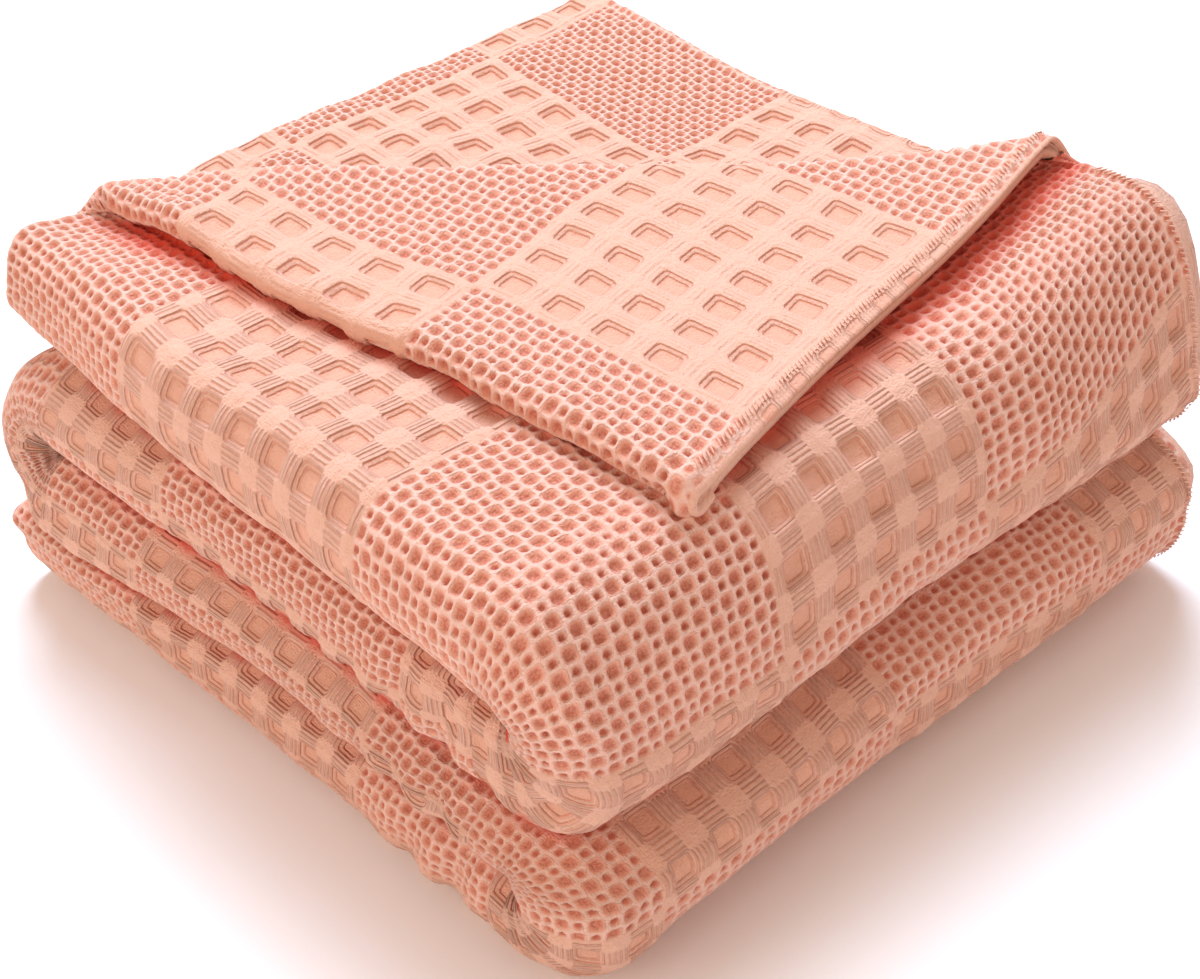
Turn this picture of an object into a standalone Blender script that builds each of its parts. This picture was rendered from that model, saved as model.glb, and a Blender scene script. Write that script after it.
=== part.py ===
"""A waffle weave cotton blanket, folded into a square stack with one corner turned back.

One sheet of cloth is folded five times, each time as a fold of what the last one made:
  1. doubled end to end, which leaves a rounded fold at one end of the pair,
  2. doubled side to side twice, eight plies with rounded folds at -X and hems at +X,
  3. laid back and forth in four layers, with two big rolls at -Y and one at +Y,
  4. the top pair's far corner turned back over a slanting ridge,
  5. settled: each layer sags, bulges and shrinks a little differently.

The cloth is flat in (s, t), its own length and width. +X is the side of the hems, -Y the
side of the two rolls. The origin is on the ground, at the middle of the stack.
"""

import math

import bmesh
import bpy
import numpy as np

# ---- driving sizes, in metres -------------------------------------------------------------
STACK_WIDTH = 0.300        # across, from the folded side to the hems
STACK_DEPTH = 0.308        # from the two rolls to the far side
PLY_PITCH = 0.0047         # from one ply of cloth to the next
CLOTH = 0.0030             # thickness of the waffle weave
LAYERS = 4                 # back-and-forth layers of eight plies each

HEM_OVERHANG = 0.010       # how far the second ply's hem stands out under the top one's
HEM_INSET = 0.005          # how far the inner hems stand back
HEM_REACH = 0.110          # the length of cloth over which a hem drifts out or in
HEM_RETURN = 0.030         # the length before the ridge over which it comes back in line

# ---- what follows from them ---------------------------------------------------------------
PAIR_PITCH = 2 * PLY_PITCH
LAYER_PITCH = 4 * PAIR_PITCH
HALF_PLY = PLY_PITCH / 2
HALF_CLOTH = CLOTH / 2
PAIR_HALF = HALF_PLY + HALF_CLOTH
TOP_PAIR = 1.5 * PAIR_PITCH                      # the top pair's height in its layer
INNER_PAIR = 0.5 * PAIR_PITCH
LAYER_HALF = TOP_PAIR + PAIR_HALF
ROLL = LAYER_PITCH / 2                           # radius of a roll's middle

SIDE_FOLD_X = -(STACK_WIDTH / 2 - LAYER_HALF)    # where the folds at -X begin to turn
HEM_SIDE_TURN_X = STACK_WIDTH / 2 - INNER_PAIR - PAIR_HALF - HEM_INSET
HEM_X = STACK_WIDTH / 2
FRONT_ROLL_Y = -(STACK_DEPTH / 2 - ROLL - LAYER_HALF)
BACK_ROLL_Y = STACK_DEPTH / 2 - ROLL - LAYER_HALF
END_FOLD_Y = STACK_DEPTH / 2 - PAIR_HALF
GROUND_LIFT = LAYER_HALF - ROLL                  # brings the lowest ply down to the ground

# ---- the corner turned back: places in plan, as shares of the stack's width ----------------
RIDGE_LEFT = (-0.380, 0.493)       # where the ridge leaves the end fold
RIDGE_RIGHT = (0.500, -0.340)      # where it leaves the hem
CORNER_TIP = (-0.252, -0.440)      # where the turned corner comes to lie
RIDGE_RADIUS = 0.0055              # of the pair's middle, round the ridge
RIDGE_LIFT_LEFT = 0.003            # the ridge stands up at its two ends
RIDGE_LIFT_RIGHT = 0.009
LIFT_REACH_LEFT = 0.060            # how far along the ridge each lift reaches
LIFT_REACH_RIGHT = 0.090
LIFT_REACH_ACROSS = 0.090

# ---- how the stack has settled ------------------------------------------------------------
# Heights of the boundaries between layers and of the top, as shares of the stack's width,
# at the four corners of the plan.
SETTLED_HEIGHTS = (
    # level, (-X,+Y), (-X,-Y), (+X,-Y), (+X,+Y)
    (0, 0.000, 0.000, 0.000, 0.000),
    (1, 0.120, 0.112, 0.118, 0.120),
    (2, 0.245, 0.180, 0.222, 0.238),
    (3, 0.362, 0.296, 0.345, 0.356),
    (4, 0.494, 0.470, 0.486, 0.500),
)
# How far the folded side stands out at -X, in metres: at the far corner, at the middle of
# the side and at the near corner. Half levels are the layers' middles, whole ones the
# creases between them.
SIDE_BULGE = (
    # level, far, middle, near
    (0.5, 0.006, 0.006, 0.010),
    (1.0, 0.012, 0.008, 0.010),
    (1.5, 0.008, 0.004, 0.006),
    (2.0, 0.008, 0.004, 0.004),
    (2.5, 0.005, -0.001, -0.003),
    (3.0, 0.000, 0.003, 0.000),
    (3.5, -0.011, 0.003, 0.005),
)
# The same for the rolls' side at -Y: at the folded side, at the middle and at the hems.
FRONT_BULGE = (
    # level, folded side, middle, hem side
    (0.5, 0.018, 0.012, 0.008),
    (1.0, 0.017, 0.011, 0.008),
    (1.5, 0.018, 0.014, 0.012),
    (2.0, 0.016, 0.015, 0.014),
    (2.5, 0.009, 0.010, 0.009),
    (3.0, 0.003, 0.003, 0.002),
    (3.5, 0.003, 0.003, 0.002),
)
BULGE_REACH = 0.100        # the depth behind a face that a bulge draws on
SWAY = 0.0012              # slow unevenness of the whole stack
SWAY_LENGTH = 0.210
SWAY_STARTS = (1.3, 0.4, 2.0, 0.9)  # phases of the height's, the width's and the depth's sway
MIDDLE = (0.0005, -0.0077)  # of the settled stack's extents, which goes to the origin

# ---- how finely the cloth is divided ------------------------------------------------------
RUN_STEPS_ACROSS = 3
RUN_STEPS_ALONG = 4
ROLL_STEPS = 5
SIDE_TURN_STEPS = 5
SMALL_TURN_STEPS = 3
RIDGE_STEPS = 4
DIAGONAL_SLANT = (1.0, 1.0, -0.4)   # the faces of all plies are halved the same way
CUT_TOLERANCE = 1e-5

CLOTH_COLOUR = (0.86, 0.42, 0.33, 1.0)
CLOTH_ROUGHNESS = 0.92


class Track:
    """A plane curve of straight runs joined by half turns, set out in (along, level).

    It starts at along = start and the first level, running towards -along. Each leg is
    (along where the run ends, level after the half turn there); the last has no turn.
    """

    def __init__(self, start, level, legs):
        self.runs, self.turns, self.length = [], [], 0.0
        heading = -1.0
        for stop, next_level in legs:
            run = abs(stop - start)
            self.runs.append((self.length, run, start, level, heading))
            self.length += run
            if next_level is None:
                break
            radius = abs(next_level - level) / 2
            side = math.copysign(1.0, level - next_level)
            self.turns.append((self.length, radius, stop, (level + next_level) / 2, heading, side))
            self.length += math.pi * radius
            start, level, heading = stop, next_level, -heading

    def at(self, distance):
        """Return along, level and the normal's two components at each distance."""
        distance = np.asarray(distance, dtype=float)
        place = np.zeros((4,) + distance.shape)
        for index, (begin, run, start, level, heading) in enumerate(self.runs):
            on = distance >= begin if index else np.ones(distance.shape, bool)
            place[0][on] = start + heading * (distance[on] - begin)
            place[1][on] = level
            place[2][on] = 0.0
            place[3][on] = -heading
        for begin, radius, stop, middle, heading, side in self.turns:
            on = (distance > begin) & (distance < begin + math.pi * radius)
            angle = (distance[on] - begin) / radius
            outward = np.stack([heading * np.sin(angle), side * np.cos(angle)])
            place[0][on] = stop + radius * outward[0]
            place[1][on] = middle + radius * outward[1]
            place[2:, on] = -heading * side * outward
        return place

    def stations(self, marks, turn_steps):
        """Distances of the mesh's lines: at the marks (places along) of each run, and at
        equal angles of each turn."""
        found = []
        for index, (begin, run, start, level, heading) in enumerate(self.runs):
            stop = start + heading * run
            low, high = min(start, stop), max(start, stop)
            inside = [mark for mark in marks if low + HALF_CLOTH < mark < high - HALF_CLOTH]
            found += [begin] + sorted(begin + abs(mark - start) for mark in inside)
            if index < len(self.turns):
                turn_begin, radius = self.turns[index][:2]
                steps = turn_steps[index]
                found += [turn_begin + math.pi * radius * step / steps for step in range(steps)]
        return found + [self.length]


def evenly(first, last, steps):
    """Return the ends of equal steps from first to last."""
    return [first + (last - first) * step / steps for step in range(steps + 1)]


# The strip, laid back and forth: y against z.
LAYER_MIDDLES = [(layer + 0.5) * LAYER_PITCH for layer in range(LAYERS)]
STRIP = Track(END_FOLD_Y, LAYER_MIDDLES[3], (
    (FRONT_ROLL_Y, LAYER_MIDDLES[2]),
    (BACK_ROLL_Y, LAYER_MIDDLES[1]),
    (FRONT_ROLL_Y, LAYER_MIDDLES[0]),
    (END_FOLD_Y, None)))
# One layer, doubled side to side twice: x against height in the layer.
DOUBLED = Track(HEM_X, TOP_PAIR, (
    (SIDE_FOLD_X, -TOP_PAIR),
    (HEM_SIDE_TURN_X, -INNER_PAIR),
    (SIDE_FOLD_X, INNER_PAIR),
    (HEM_X, None)))
# The pair, doubled end to end: distance along the strip against height in the pair.
PAIRED = Track(STRIP.length, HALF_PLY, (
    (0.0, -HALF_PLY),
    (STRIP.length, None)))

FIRST_RUN = STRIP.runs[0][1]       # the top layer's flat run, as far as the front roll
TOP_RUN = DOUBLED.runs[0][1]       # the top pair's flat run, from the hem to the side fold

# The ridge in plan: x against distance along the strip, which runs towards -Y.
RIDGE_START = np.array([RIDGE_LEFT[0] * STACK_WIDTH, END_FOLD_Y - RIDGE_LEFT[1] * STACK_WIDTH])
RIDGE_END = np.array([RIDGE_RIGHT[0] * STACK_WIDTH, END_FOLD_Y - RIDGE_RIGHT[1] * STACK_WIDTH])
TIP = np.array([CORNER_TIP[0] * STACK_WIDTH, END_FOLD_Y - CORNER_TIP[1] * STACK_WIDTH])
RIDGE_LENGTH = float(np.linalg.norm(RIDGE_END - RIDGE_START))
RIDGE_WAY = (RIDGE_END - RIDGE_START) / RIDGE_LENGTH
RIDGE_SIDE = np.array([RIDGE_WAY[1], -RIDGE_WAY[0]])       # towards the corner
TURN_LENGTH = math.pi * RIDGE_RADIUS                       # of cloth, round the ridge
CORNER_FROM_RIDGE = np.array([HEM_X, 0.0]) - RIDGE_START
TIP_FROM_RIDGE = TIP - RIDGE_START
CORNER_DEPTH = float(CORNER_FROM_RIDGE @ RIDGE_SIDE) - TURN_LENGTH
CORNER_STRETCH = -float(TIP_FROM_RIDGE @ RIDGE_SIDE) / CORNER_DEPTH
CORNER_SLANT = float((TIP_FROM_RIDGE - CORNER_FROM_RIDGE) @ RIDGE_WAY) / CORNER_DEPTH


def smooth(value):
    """Ease from 0 to 1 as value goes from 0 to 1."""
    value = np.clip(value, 0.0, 1.0)
    return value * value * (3 - 2 * value)


def from_ridge(x, along):
    """Return how far points lie along the ridge and beyond it, in plan."""
    plan = np.stack([x - RIDGE_START[0], along - RIDGE_START[1]])
    return np.tensordot(RIDGE_WAY, plan, 1), np.tensordot(RIDGE_SIDE, plan, 1)


def hem_drift(x, s, along, in_top_run, in_last_run):
    """Return how far the hems stand out of line: the top pair's second ply out, the inner
    pair's hems in."""
    ramp = smooth((x - (HEM_X - HEM_REACH)) / HEM_REACH)
    second = smooth((s - STRIP.length) / PLY_PITCH)
    before_ridge = smooth(-from_ridge(x, along)[1] / HEM_RETURN)
    drift = np.where(in_top_run, HEM_OVERHANG * second * before_ridge, 0.0)
    drift = np.where(in_last_run, -HEM_INSET * (1 - second / 2), drift)
    return ramp * drift


def turn_corner_back(x, along, height):
    """Fold the top pair over the ridge: x, distance along the strip and height in the layer
    of points of the top pair's flat run. Points short of the ridge stay."""
    ends = np.minimum(along, 0.0)                  # what lies past the end fold's middle
    way, depth = from_ridge(x, along - ends)
    over = height - TOP_PAIR
    angle = np.clip(depth / RIDGE_RADIUS, 0.0, math.pi)
    beyond = np.maximum(depth - TURN_LENGTH, 0.0)
    flat = depth <= 0.0
    way_new = way + CORNER_SLANT * beyond
    depth_new = np.where(flat, depth, (RIDGE_RADIUS - over) * np.sin(angle) - CORNER_STRETCH * beyond)
    height_new = TOP_PAIR + RIDGE_RADIUS - (RIDGE_RADIUS - over) * np.cos(angle)
    # The end fold's rounding keeps its shape and turns with the cloth beside it.
    way_new = way_new + ends * RIDGE_WAY[1]
    depth_new = depth_new + ends * RIDGE_SIDE[1] * np.cos(angle)
    height_new = height_new + ends * RIDGE_SIDE[1] * np.sin(angle)
    # The ridge stands up at its two ends, and the corner settles away from it.
    from_left = np.exp(-(way_new / LIFT_REACH_LEFT) ** 2)
    from_right = np.exp(-((RIDGE_LENGTH - way_new) / LIFT_REACH_RIGHT) ** 2)
    lift = RIDGE_LIFT_LEFT * from_left + RIDGE_LIFT_RIGHT * from_right
    lift = lift * np.exp(-(beyond / LIFT_REACH_ACROSS) ** 2)
    height_new = height_new + lift * (1 - np.cos(angle)) / 2
    x_new = RIDGE_START[0] + way_new * RIDGE_WAY[0] + depth_new * RIDGE_SIDE[0]
    along_new = RIDGE_START[1] + way_new * RIDGE_WAY[1] + depth_new * RIDGE_SIDE[1]
    # Where the corner reaches the front roll it lies round it, at its own longer radius.
    past = np.maximum(along_new - FIRST_RUN, 0.0)
    along_new = along_new - past + past * ROLL / (ROLL + height_new)
    return x_new, along_new, height_new


def hats(value, middles):
    """Return smooth weights that add up to 1, each 1 at its own middle, for values between
    the first and the last of evenly spaced middles."""
    spacing = middles[1] - middles[0]
    value = np.clip(value, middles[0], middles[-1])
    return [0.5 + 0.5 * np.cos(math.pi * np.clip((value - middle) / spacing, -1, 1))
            for middle in middles]


def settle(x, y, z):
    """Let the neat stack sag and bulge as the real one has. Neighbouring plies move alike,
    so that none crosses another."""
    across = np.clip(x / STACK_WIDTH + 0.5, 0.0, 1.0)
    back = np.clip(y / STACK_DEPTH + 0.5, 0.0, 1.0)
    level = z / LAYER_PITCH
    rise = np.zeros_like(z)
    for weight, row in zip(hats(level, range(LAYERS + 1)), SETTLED_HEIGHTS):
        number, far_fold, near_fold, near_hem, far_hem = row
        height = ((1 - across) * ((1 - back) * near_fold + back * far_fold)
                  + across * ((1 - back) * near_hem + back * far_hem))
        rise = rise + weight * (height * STACK_WIDTH - number * LAYER_PITCH)
    off_ground = smooth(z / LAYER_PITCH)
    wave = 2 * math.pi / SWAY_LENGTH
    sway = SWAY * off_ground
    starts = SWAY_STARTS
    z_new = z + rise + sway * np.sin(wave * x + starts[0]) * np.sin(wave * y + starts[1])
    thirds = (0.0, 0.5, 1.0)
    level_weights = hats(level, [row[0] for row in SIDE_BULGE])
    side = smooth((-x - (STACK_WIDTH / 2 - BULGE_REACH)) / BULGE_REACH)
    front = smooth((-y - (STACK_DEPTH / 2 - BULGE_REACH)) / BULGE_REACH)
    side_out = sum(weight * sum(part * amount for part, amount in zip(hats(1 - back, thirds), row[1:]))
                   for weight, row in zip(level_weights, SIDE_BULGE))
    front_out = sum(weight * sum(part * amount for part, amount in zip(hats(across, thirds), row[1:]))
                    for weight, row in zip(level_weights, FRONT_BULGE))
    x_new = x - side * side_out + sway * np.sin(wave * y + starts[2])
    y_new = y - front * front_out + sway * np.sin(wave * x + starts[3])
    return x_new - MIDDLE[0], y_new - MIDDLE[1], z_new


def neat(s, t, n):
    """Return where a point of the cloth lies in the neat stack: s along the cloth, t across
    it, n out of its face."""
    along, in_pair, out_along, out_in_pair = PAIRED.at(s)
    along = along + n * out_along
    in_pair = in_pair + n * out_in_pair
    x, height, out_x, out_height = DOUBLED.at(t)
    in_top_run = t <= TOP_RUN
    in_last_run = t >= DOUBLED.runs[-1][0]
    x = x + in_pair * out_x
    height = height + in_pair * out_height
    x = x + hem_drift(x, s, along, in_top_run, in_last_run)
    folded = in_top_run & (along <= FIRST_RUN)
    x_back, along_back, height_back = turn_corner_back(x, along, height)
    x = np.where(folded, x_back, x)
    along = np.where(folded, along_back, along)
    height = np.where(folded, height_back, height)
    y, z, out_y, out_z = STRIP.at(along)
    return x, y + height * out_y, z + height * out_z


def flat_grid():
    """Return a mesh of the flat cloth in (s, t, 0), divided where it will fold."""
    y_marks = evenly(FRONT_ROLL_Y, BACK_ROLL_Y, RUN_STEPS_ALONG)
    x_marks = evenly(SIDE_FOLD_X, HEM_SIDE_TURN_X, RUN_STEPS_ACROSS)
    strip_stations = STRIP.stations(y_marks, (ROLL_STEPS, ROLL_STEPS, ROLL_STEPS))
    first_half = [STRIP.length - station for station in reversed(strip_stations)]
    turn_begin, turn_radius = PAIRED.turns[0][:2]
    end_turn = evenly(turn_begin, turn_begin + math.pi * turn_radius, SMALL_TURN_STEPS)
    second_half = [end_turn[-1] + station for station in strip_stations]
    s_lines = first_half[:-1] + end_turn + second_half[1:]
    t_lines = DOUBLED.stations(x_marks, (SIDE_TURN_STEPS, SMALL_TURN_STEPS, SMALL_TURN_STEPS))
    grid = bmesh.new()
    rows = [[grid.verts.new((s, t, 0.0)) for t in t_lines] for s in s_lines]
    for row, next_row in zip(rows, rows[1:]):
        for corner in range(len(t_lines) - 1):
            grid.faces.new((row[corner], next_row[corner], next_row[corner + 1], row[corner + 1]))
    return grid


def cut(grid, begin_s, end_s, point, way):
    """Divide the top pair's faces between two s lines along a straight line in (s, t)."""
    faces = [face for face in grid.faces
             if begin_s < face.calc_center_median().x < end_s
             and face.calc_center_median().y < TOP_RUN]
    edges = {edge for face in faces for edge in face.edges}
    verts = {vert for face in faces for vert in face.verts}
    bmesh.ops.bisect_plane(grid, geom=list(verts) + list(edges) + faces, dist=CUT_TOLERANCE,
                           plane_co=(point[0], point[1], 0.0), plane_no=(way[1], -way[0], 0.0))


def divide_at_ridge(grid):
    """Divide the top pair along the ridge, and where its turned corner meets the roll."""
    end_begin, end_radius = PAIRED.turns[0][:2]
    end_finish = end_begin + math.pi * end_radius
    roll_step = math.pi * (ROLL + TOP_PAIR + 2 * RIDGE_RADIUS) / ROLL_STEPS
    lines = [(RIDGE_START + RIDGE_SIDE * TURN_LENGTH * step / RIDGE_STEPS, RIDGE_WAY)
             for step in range(RIDGE_STEPS + 1)]
    for roll_line in (FIRST_RUN, FIRST_RUN + roll_step):
        # The line in plan where the corner bends, taken back to the flat cloth.
        ends = []
        for x in (SIDE_FOLD_X, 0.0):
            offset = np.array([x, roll_line]) - RIDGE_START
            beyond = -float(offset @ RIDGE_SIDE) / CORNER_STRETCH
            way = float(offset @ RIDGE_WAY) - CORNER_SLANT * beyond
            ends.append(RIDGE_START + way * RIDGE_WAY + (beyond + TURN_LENGTH) * RIDGE_SIDE)
        lines.append((ends[0], ends[1] - ends[0]))
    for place, way in lines:
        crossing = place + way * (-place[1] / way[1])           # on the end fold
        t_crossing = HEM_X - crossing[0]
        cut(grid, end_begin - FIRST_RUN, end_begin, (end_begin, t_crossing), (-way[1], -way[0]))
        cut(grid, end_begin, end_finish, (end_begin, t_crossing), (1.0, 0.0))
        cut(grid, end_finish, end_finish + FIRST_RUN, (end_finish, t_crossing), (way[1], -way[0]))


def fold_cloth():
    """Return the folded, settled cloth as one closed mesh."""
    grid = flat_grid()
    divide_at_ridge(grid)
    grid.verts.index_update()
    flat = np.array([vert.co[:2] for vert in grid.verts]).T
    skins = [neat(flat[0], flat[1], np.full(flat.shape[1], side)) for side in (HALF_CLOTH, -HALF_CLOTH)]
    middle = np.stack(neat(flat[0], flat[1], np.zeros(flat.shape[1])), axis=1)
    body = bmesh.new()
    verts = []
    for x, y, z in skins:
        x, y, z = settle(x, y, z + GROUND_LIFT)
        verts.append([body.verts.new(place) for place in zip(x, y, z)])
    slant = middle @ np.array(DIAGONAL_SLANT)
    for face in grid.faces:
        corners = [vert.index for vert in face.verts]
        for triangle in split(corners, slant):
            body.faces.new([verts[0][corner] for corner in triangle])
            body.faces.new([verts[1][corner] for corner in reversed(triangle)])
    for edge in grid.edges:
        if edge.is_boundary:
            loop = edge.link_loops[0]
            first, second = loop.vert.index, loop.link_loop_next.vert.index
            body.faces.new((verts[0][second], verts[0][first], verts[1][first]))
            body.faces.new((verts[0][second], verts[1][first], verts[1][second]))
    grid.free()
    bmesh.ops.recalc_face_normals(body, faces=body.faces)
    return body


def split(corners, key):
    """Split a face into triangles, fanned from the corner with the greatest key."""
    lead = max(range(len(corners)), key=lambda place: key[corners[place]])
    ring = corners[lead:] + corners[:lead]
    return [(ring[0], ring[place], ring[place + 1]) for place in range(1, len(ring) - 1)]


def cotton():
    """Return the cloth's material: matt peach cotton."""
    material = bpy.data.materials.new("peach_cotton")
    material.use_nodes = True
    shader = material.node_tree.nodes["Principled BSDF"]
    shader.inputs["Base Color"].default_value = CLOTH_COLOUR
    shader.inputs["Roughness"].default_value = CLOTH_ROUGHNESS
    shader.inputs["Metallic"].default_value = 0.0
    return material


def main():
    """Build the blanket."""
    for item in list(bpy.data.objects):
        bpy.data.objects.remove(item, do_unlink=True)
    body = fold_cloth()
    mesh = bpy.data.meshes.new("blanket")
    body.to_mesh(mesh)
    body.free()
    mesh.materials.append(cotton())
    blanket = bpy.data.objects.new("blanket", mesh)
    bpy.context.scene.collection.objects.link(blanket)


main()
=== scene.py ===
"""The looks of a waffle weave cotton blanket, folded into a square stack with one corner
turned back.

The cloth is doubled in its length, which gives a first ply and a second ply under it. That
pair is folded across into four pairs, and the strip that this makes is folded along into
four layers. (s, t) is a place on the flat cloth, lengthwise and crosswise, and n stands out
of its face. (v, u) are distances over the folded cloth's face, from the end fold along it
and from the hem across it.

The plain cloth is the whole blanket, on the same folds as the solid model. Where it shows,
fine faces lie on it: sunk waffle squares and open mesh, in blocks set out like a chequerboard.
"""

import math
from collections import namedtuple

import bmesh
import bpy
import numpy as np
from mathutils import Matrix


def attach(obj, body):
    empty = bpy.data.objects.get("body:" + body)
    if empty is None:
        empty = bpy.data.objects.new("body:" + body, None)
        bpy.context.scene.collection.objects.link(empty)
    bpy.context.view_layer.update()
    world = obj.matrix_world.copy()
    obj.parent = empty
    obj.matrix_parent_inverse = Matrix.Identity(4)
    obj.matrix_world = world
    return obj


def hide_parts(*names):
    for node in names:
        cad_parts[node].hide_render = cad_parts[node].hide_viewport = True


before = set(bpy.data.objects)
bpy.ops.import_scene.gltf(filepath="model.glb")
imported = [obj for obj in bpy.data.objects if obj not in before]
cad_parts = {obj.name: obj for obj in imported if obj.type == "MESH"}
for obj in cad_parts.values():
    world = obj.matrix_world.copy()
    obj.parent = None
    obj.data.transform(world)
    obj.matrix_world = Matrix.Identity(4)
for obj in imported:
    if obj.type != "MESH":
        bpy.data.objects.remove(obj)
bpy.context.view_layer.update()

# ---- the stack's sizes, in metres ----------------------------------------------------------
STACK_WIDTH = 0.300        # from the folded side to the hems
STACK_DEPTH = 0.308        # from the two front rolls to the back
PLY_PITCH = 0.0047
CLOTH = 0.0030             # its thickness
LAYERS = 4
HEM_OVERHANG = 0.010       # of the second ply's hem past the first's, on top
HEM_INSET = 0.005          # of the inner pair's hems
HEM_REACH = 0.110          # over which the plies drift apart to their hems
HEM_RETURN = 0.014         # over which the overhang ends before the ridge

PAIR_PITCH = 2 * PLY_PITCH
LAYER_PITCH = 4 * PAIR_PITCH
HALF_PLY = PLY_PITCH / 2
HALF_CLOTH = CLOTH / 2
PAIR_HALF = HALF_PLY + HALF_CLOTH
TOP_PAIR = 1.5 * PAIR_PITCH                    # from a layer's middle to its top pair's
INNER_PAIR = 0.5 * PAIR_PITCH
LAYER_HALF = TOP_PAIR + PAIR_HALF
ROLL = LAYER_PITCH / 2
SIDE_FOLD_X = -(STACK_WIDTH / 2 - LAYER_HALF)
HEM_SIDE_TURN_X = STACK_WIDTH / 2 - INNER_PAIR - PAIR_HALF - HEM_INSET
HEM_X = STACK_WIDTH / 2
FRONT_ROLL_Y = -(STACK_DEPTH / 2 - ROLL - LAYER_HALF)
BACK_ROLL_Y = -FRONT_ROLL_Y
END_FOLD_Y = STACK_DEPTH / 2 - PAIR_HALF
GROUND_LIFT = LAYER_HALF - ROLL

# ---- the corner turned back ------------------------------------------------------------------
RIDGE_LEFT = (-0.380, 0.493)       # the ridge's ends and the tip, as shares of the width
RIDGE_RIGHT = (0.500, -0.340)
CORNER_TIP = (-0.252, -0.440)
RIDGE_RADIUS = 0.0055
RIDGE_LIFT_LEFT = 0.003
RIDGE_LIFT_RIGHT = 0.002
LIFT_REACH_LEFT = 0.060
LIFT_REACH_RIGHT = 0.090
LIFT_REACH_ACROSS = 0.090
FOLD_PUFF = 0.45                   # how much thicker the turned corner is along its end fold
FOLD_PUFF_REACH = 0.009
FOLD_DROOP = 0.0016
FOLD_DROOP_REACH = 0.018
FOLD_WAVE = 0.0007
FOLD_WAVE_LENGTH = 0.052
HEM_CURL = 0.0040                  # of the second ply's hem, where it stands out
CURL_OUT = (0.001, 0.009)          # where it starts past the hem's line, and over how much
CURL_ROUND_ROLL = 0.030            # over which it ends on the front roll

# ---- how the top is eased ----------------------------------------------------------------------
# A pair gives where an easing starts and over how much it grows.
TOP_EASED = (0.112, 0.030)         # in height
LEFT_DIP = 0.0085                  # at the ridge's left end
LEFT_DIP_AT = (-0.102, 0.148)
LEFT_DIP_REACH = 0.045
BACK_RISE = 0.0058
BACK_RISEN = (0.050, 0.090)
HEM_SIDE_RISE = 0.0022
HEM_SIDE_RISEN = (0.095, 0.045)
HEM_RISE = 0.0105                  # at the ridge's right end
HEM_RISE_AT = (0.152, -0.116)
HEM_RISE_REACH = (0.055, 0.048)
LOW_FRONT_IN = 0.006               # how far the lowest roll lies back, low on its left
LOW_FRONT_X = (-0.085, 0.050)      # its middle and its reach
LOW_FRONT_Y = (0.110, 0.030)
LOW_FRONT_HEIGHT = 0.045

# ---- how the stack has settled --------------------------------------------------------------
SETTLED_HEIGHTS = (
    # level, (-X,+Y), (-X,-Y), (+X,-Y), (+X,+Y), as shares of the width
    (0, 0.000, 0.000, 0.000, 0.000),
    (1, 0.120, 0.112, 0.118, 0.120),
    (2, 0.245, 0.180, 0.222, 0.238),
    (3, 0.362, 0.296, 0.345, 0.356),
    (4, 0.494, 0.470, 0.486, 0.500),
)
SIDE_BULGE = (
    # level, far, middle, near
    (0.5, 0.004, 0.003, 0.006),
    (1.0, 0.017, 0.007, 0.009),
    (1.5, 0.008, 0.004, 0.006),
    (2.0, 0.008, 0.004, 0.004),
    (2.5, 0.005, -0.001, -0.003),
    (3.0, -0.003, 0.003, 0.000),
    (3.5, -0.011, 0.003, 0.005),
)
FRONT_BULGE = (
    # level, folded side, middle, hem side
    (0.5, 0.018, 0.012, 0.008),
    (1.0, 0.017, 0.011, 0.008),
    (1.5, 0.018, 0.014, 0.012),
    (2.0, 0.016, 0.015, 0.014),
    (2.5, 0.009, 0.010, 0.009),
    (3.0, 0.003, 0.003, 0.002),
    (3.5, 0.003, 0.003, 0.002),
)
BULGE_PLACES = (0.0, 0.5, 1.0)     # of the tables' three columns along a side
BULGE_REACH = 0.100
SWAY = 0.0012
SWAY_LENGTH = 0.210
SWAY_STARTS = (1.3, 0.4, 2.0, 0.9)
MIDDLE = (0.0005, -0.0077)         # the settled stack's middle, which goes to the origin

# ---- the weave ------------------------------------------------------------------------------
Repeat = namedtuple("Repeat", "first block squares hollows")
Pattern = namedtuple("Pattern", "across along waffle_first")
# For each face, across and along the cloth: the first boundary of a block, a block's length,
# and its waffle squares and its mesh columns or rows. Then whether the block past both first
# boundaries is waffle.
PATTERN = {
    "top": Pattern(Repeat(0.121, 0.098, 5, 18), Repeat(0.081, 0.125, 7, 13), False),
    "corner": Pattern(Repeat(0.104, 0.098, 5, 22), Repeat(0.031, 0.130, 7, 12), False),
    "behind": Pattern(Repeat(0.0705, 0.101, 5, 24), Repeat(0.0137, 0.0987, 5, 13), True),
    "lower": Pattern(Repeat(0.063, 0.108, 6, 20), Repeat(0.300, 0.125, 7, 14), False),
    "second": Pattern(Repeat(0.121, 0.098, 5, 18), Repeat(0.060, 0.125, 7, 14), True),
}
LAST_BLOCK = {"top": 1}            # the last block across, which goes on down the folded side
WHOLE_BLOCK = 0.999                # a block's length, kept short of the next one
EVEN_START = 100                   # where blocks are counted from, to keep their counts above 0
BLOCK_EDGE = (0.0004, 0.0012)      # where the relief starts in from a block's edge
DRAWN_IN = 0.032                   # how far the top's rows are drawn in by the hem
DRAWN_IN_ACROSS = 0.115
DRAWN_IN_ALONG = (0.215, 0.085)
SQUARE_PITCH = 0.019
PIT_SHARE = 0.54                   # a sunk square's side, as a share of the pitch
SQUARENESS = 7                     # the power that rounds its corners
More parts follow.
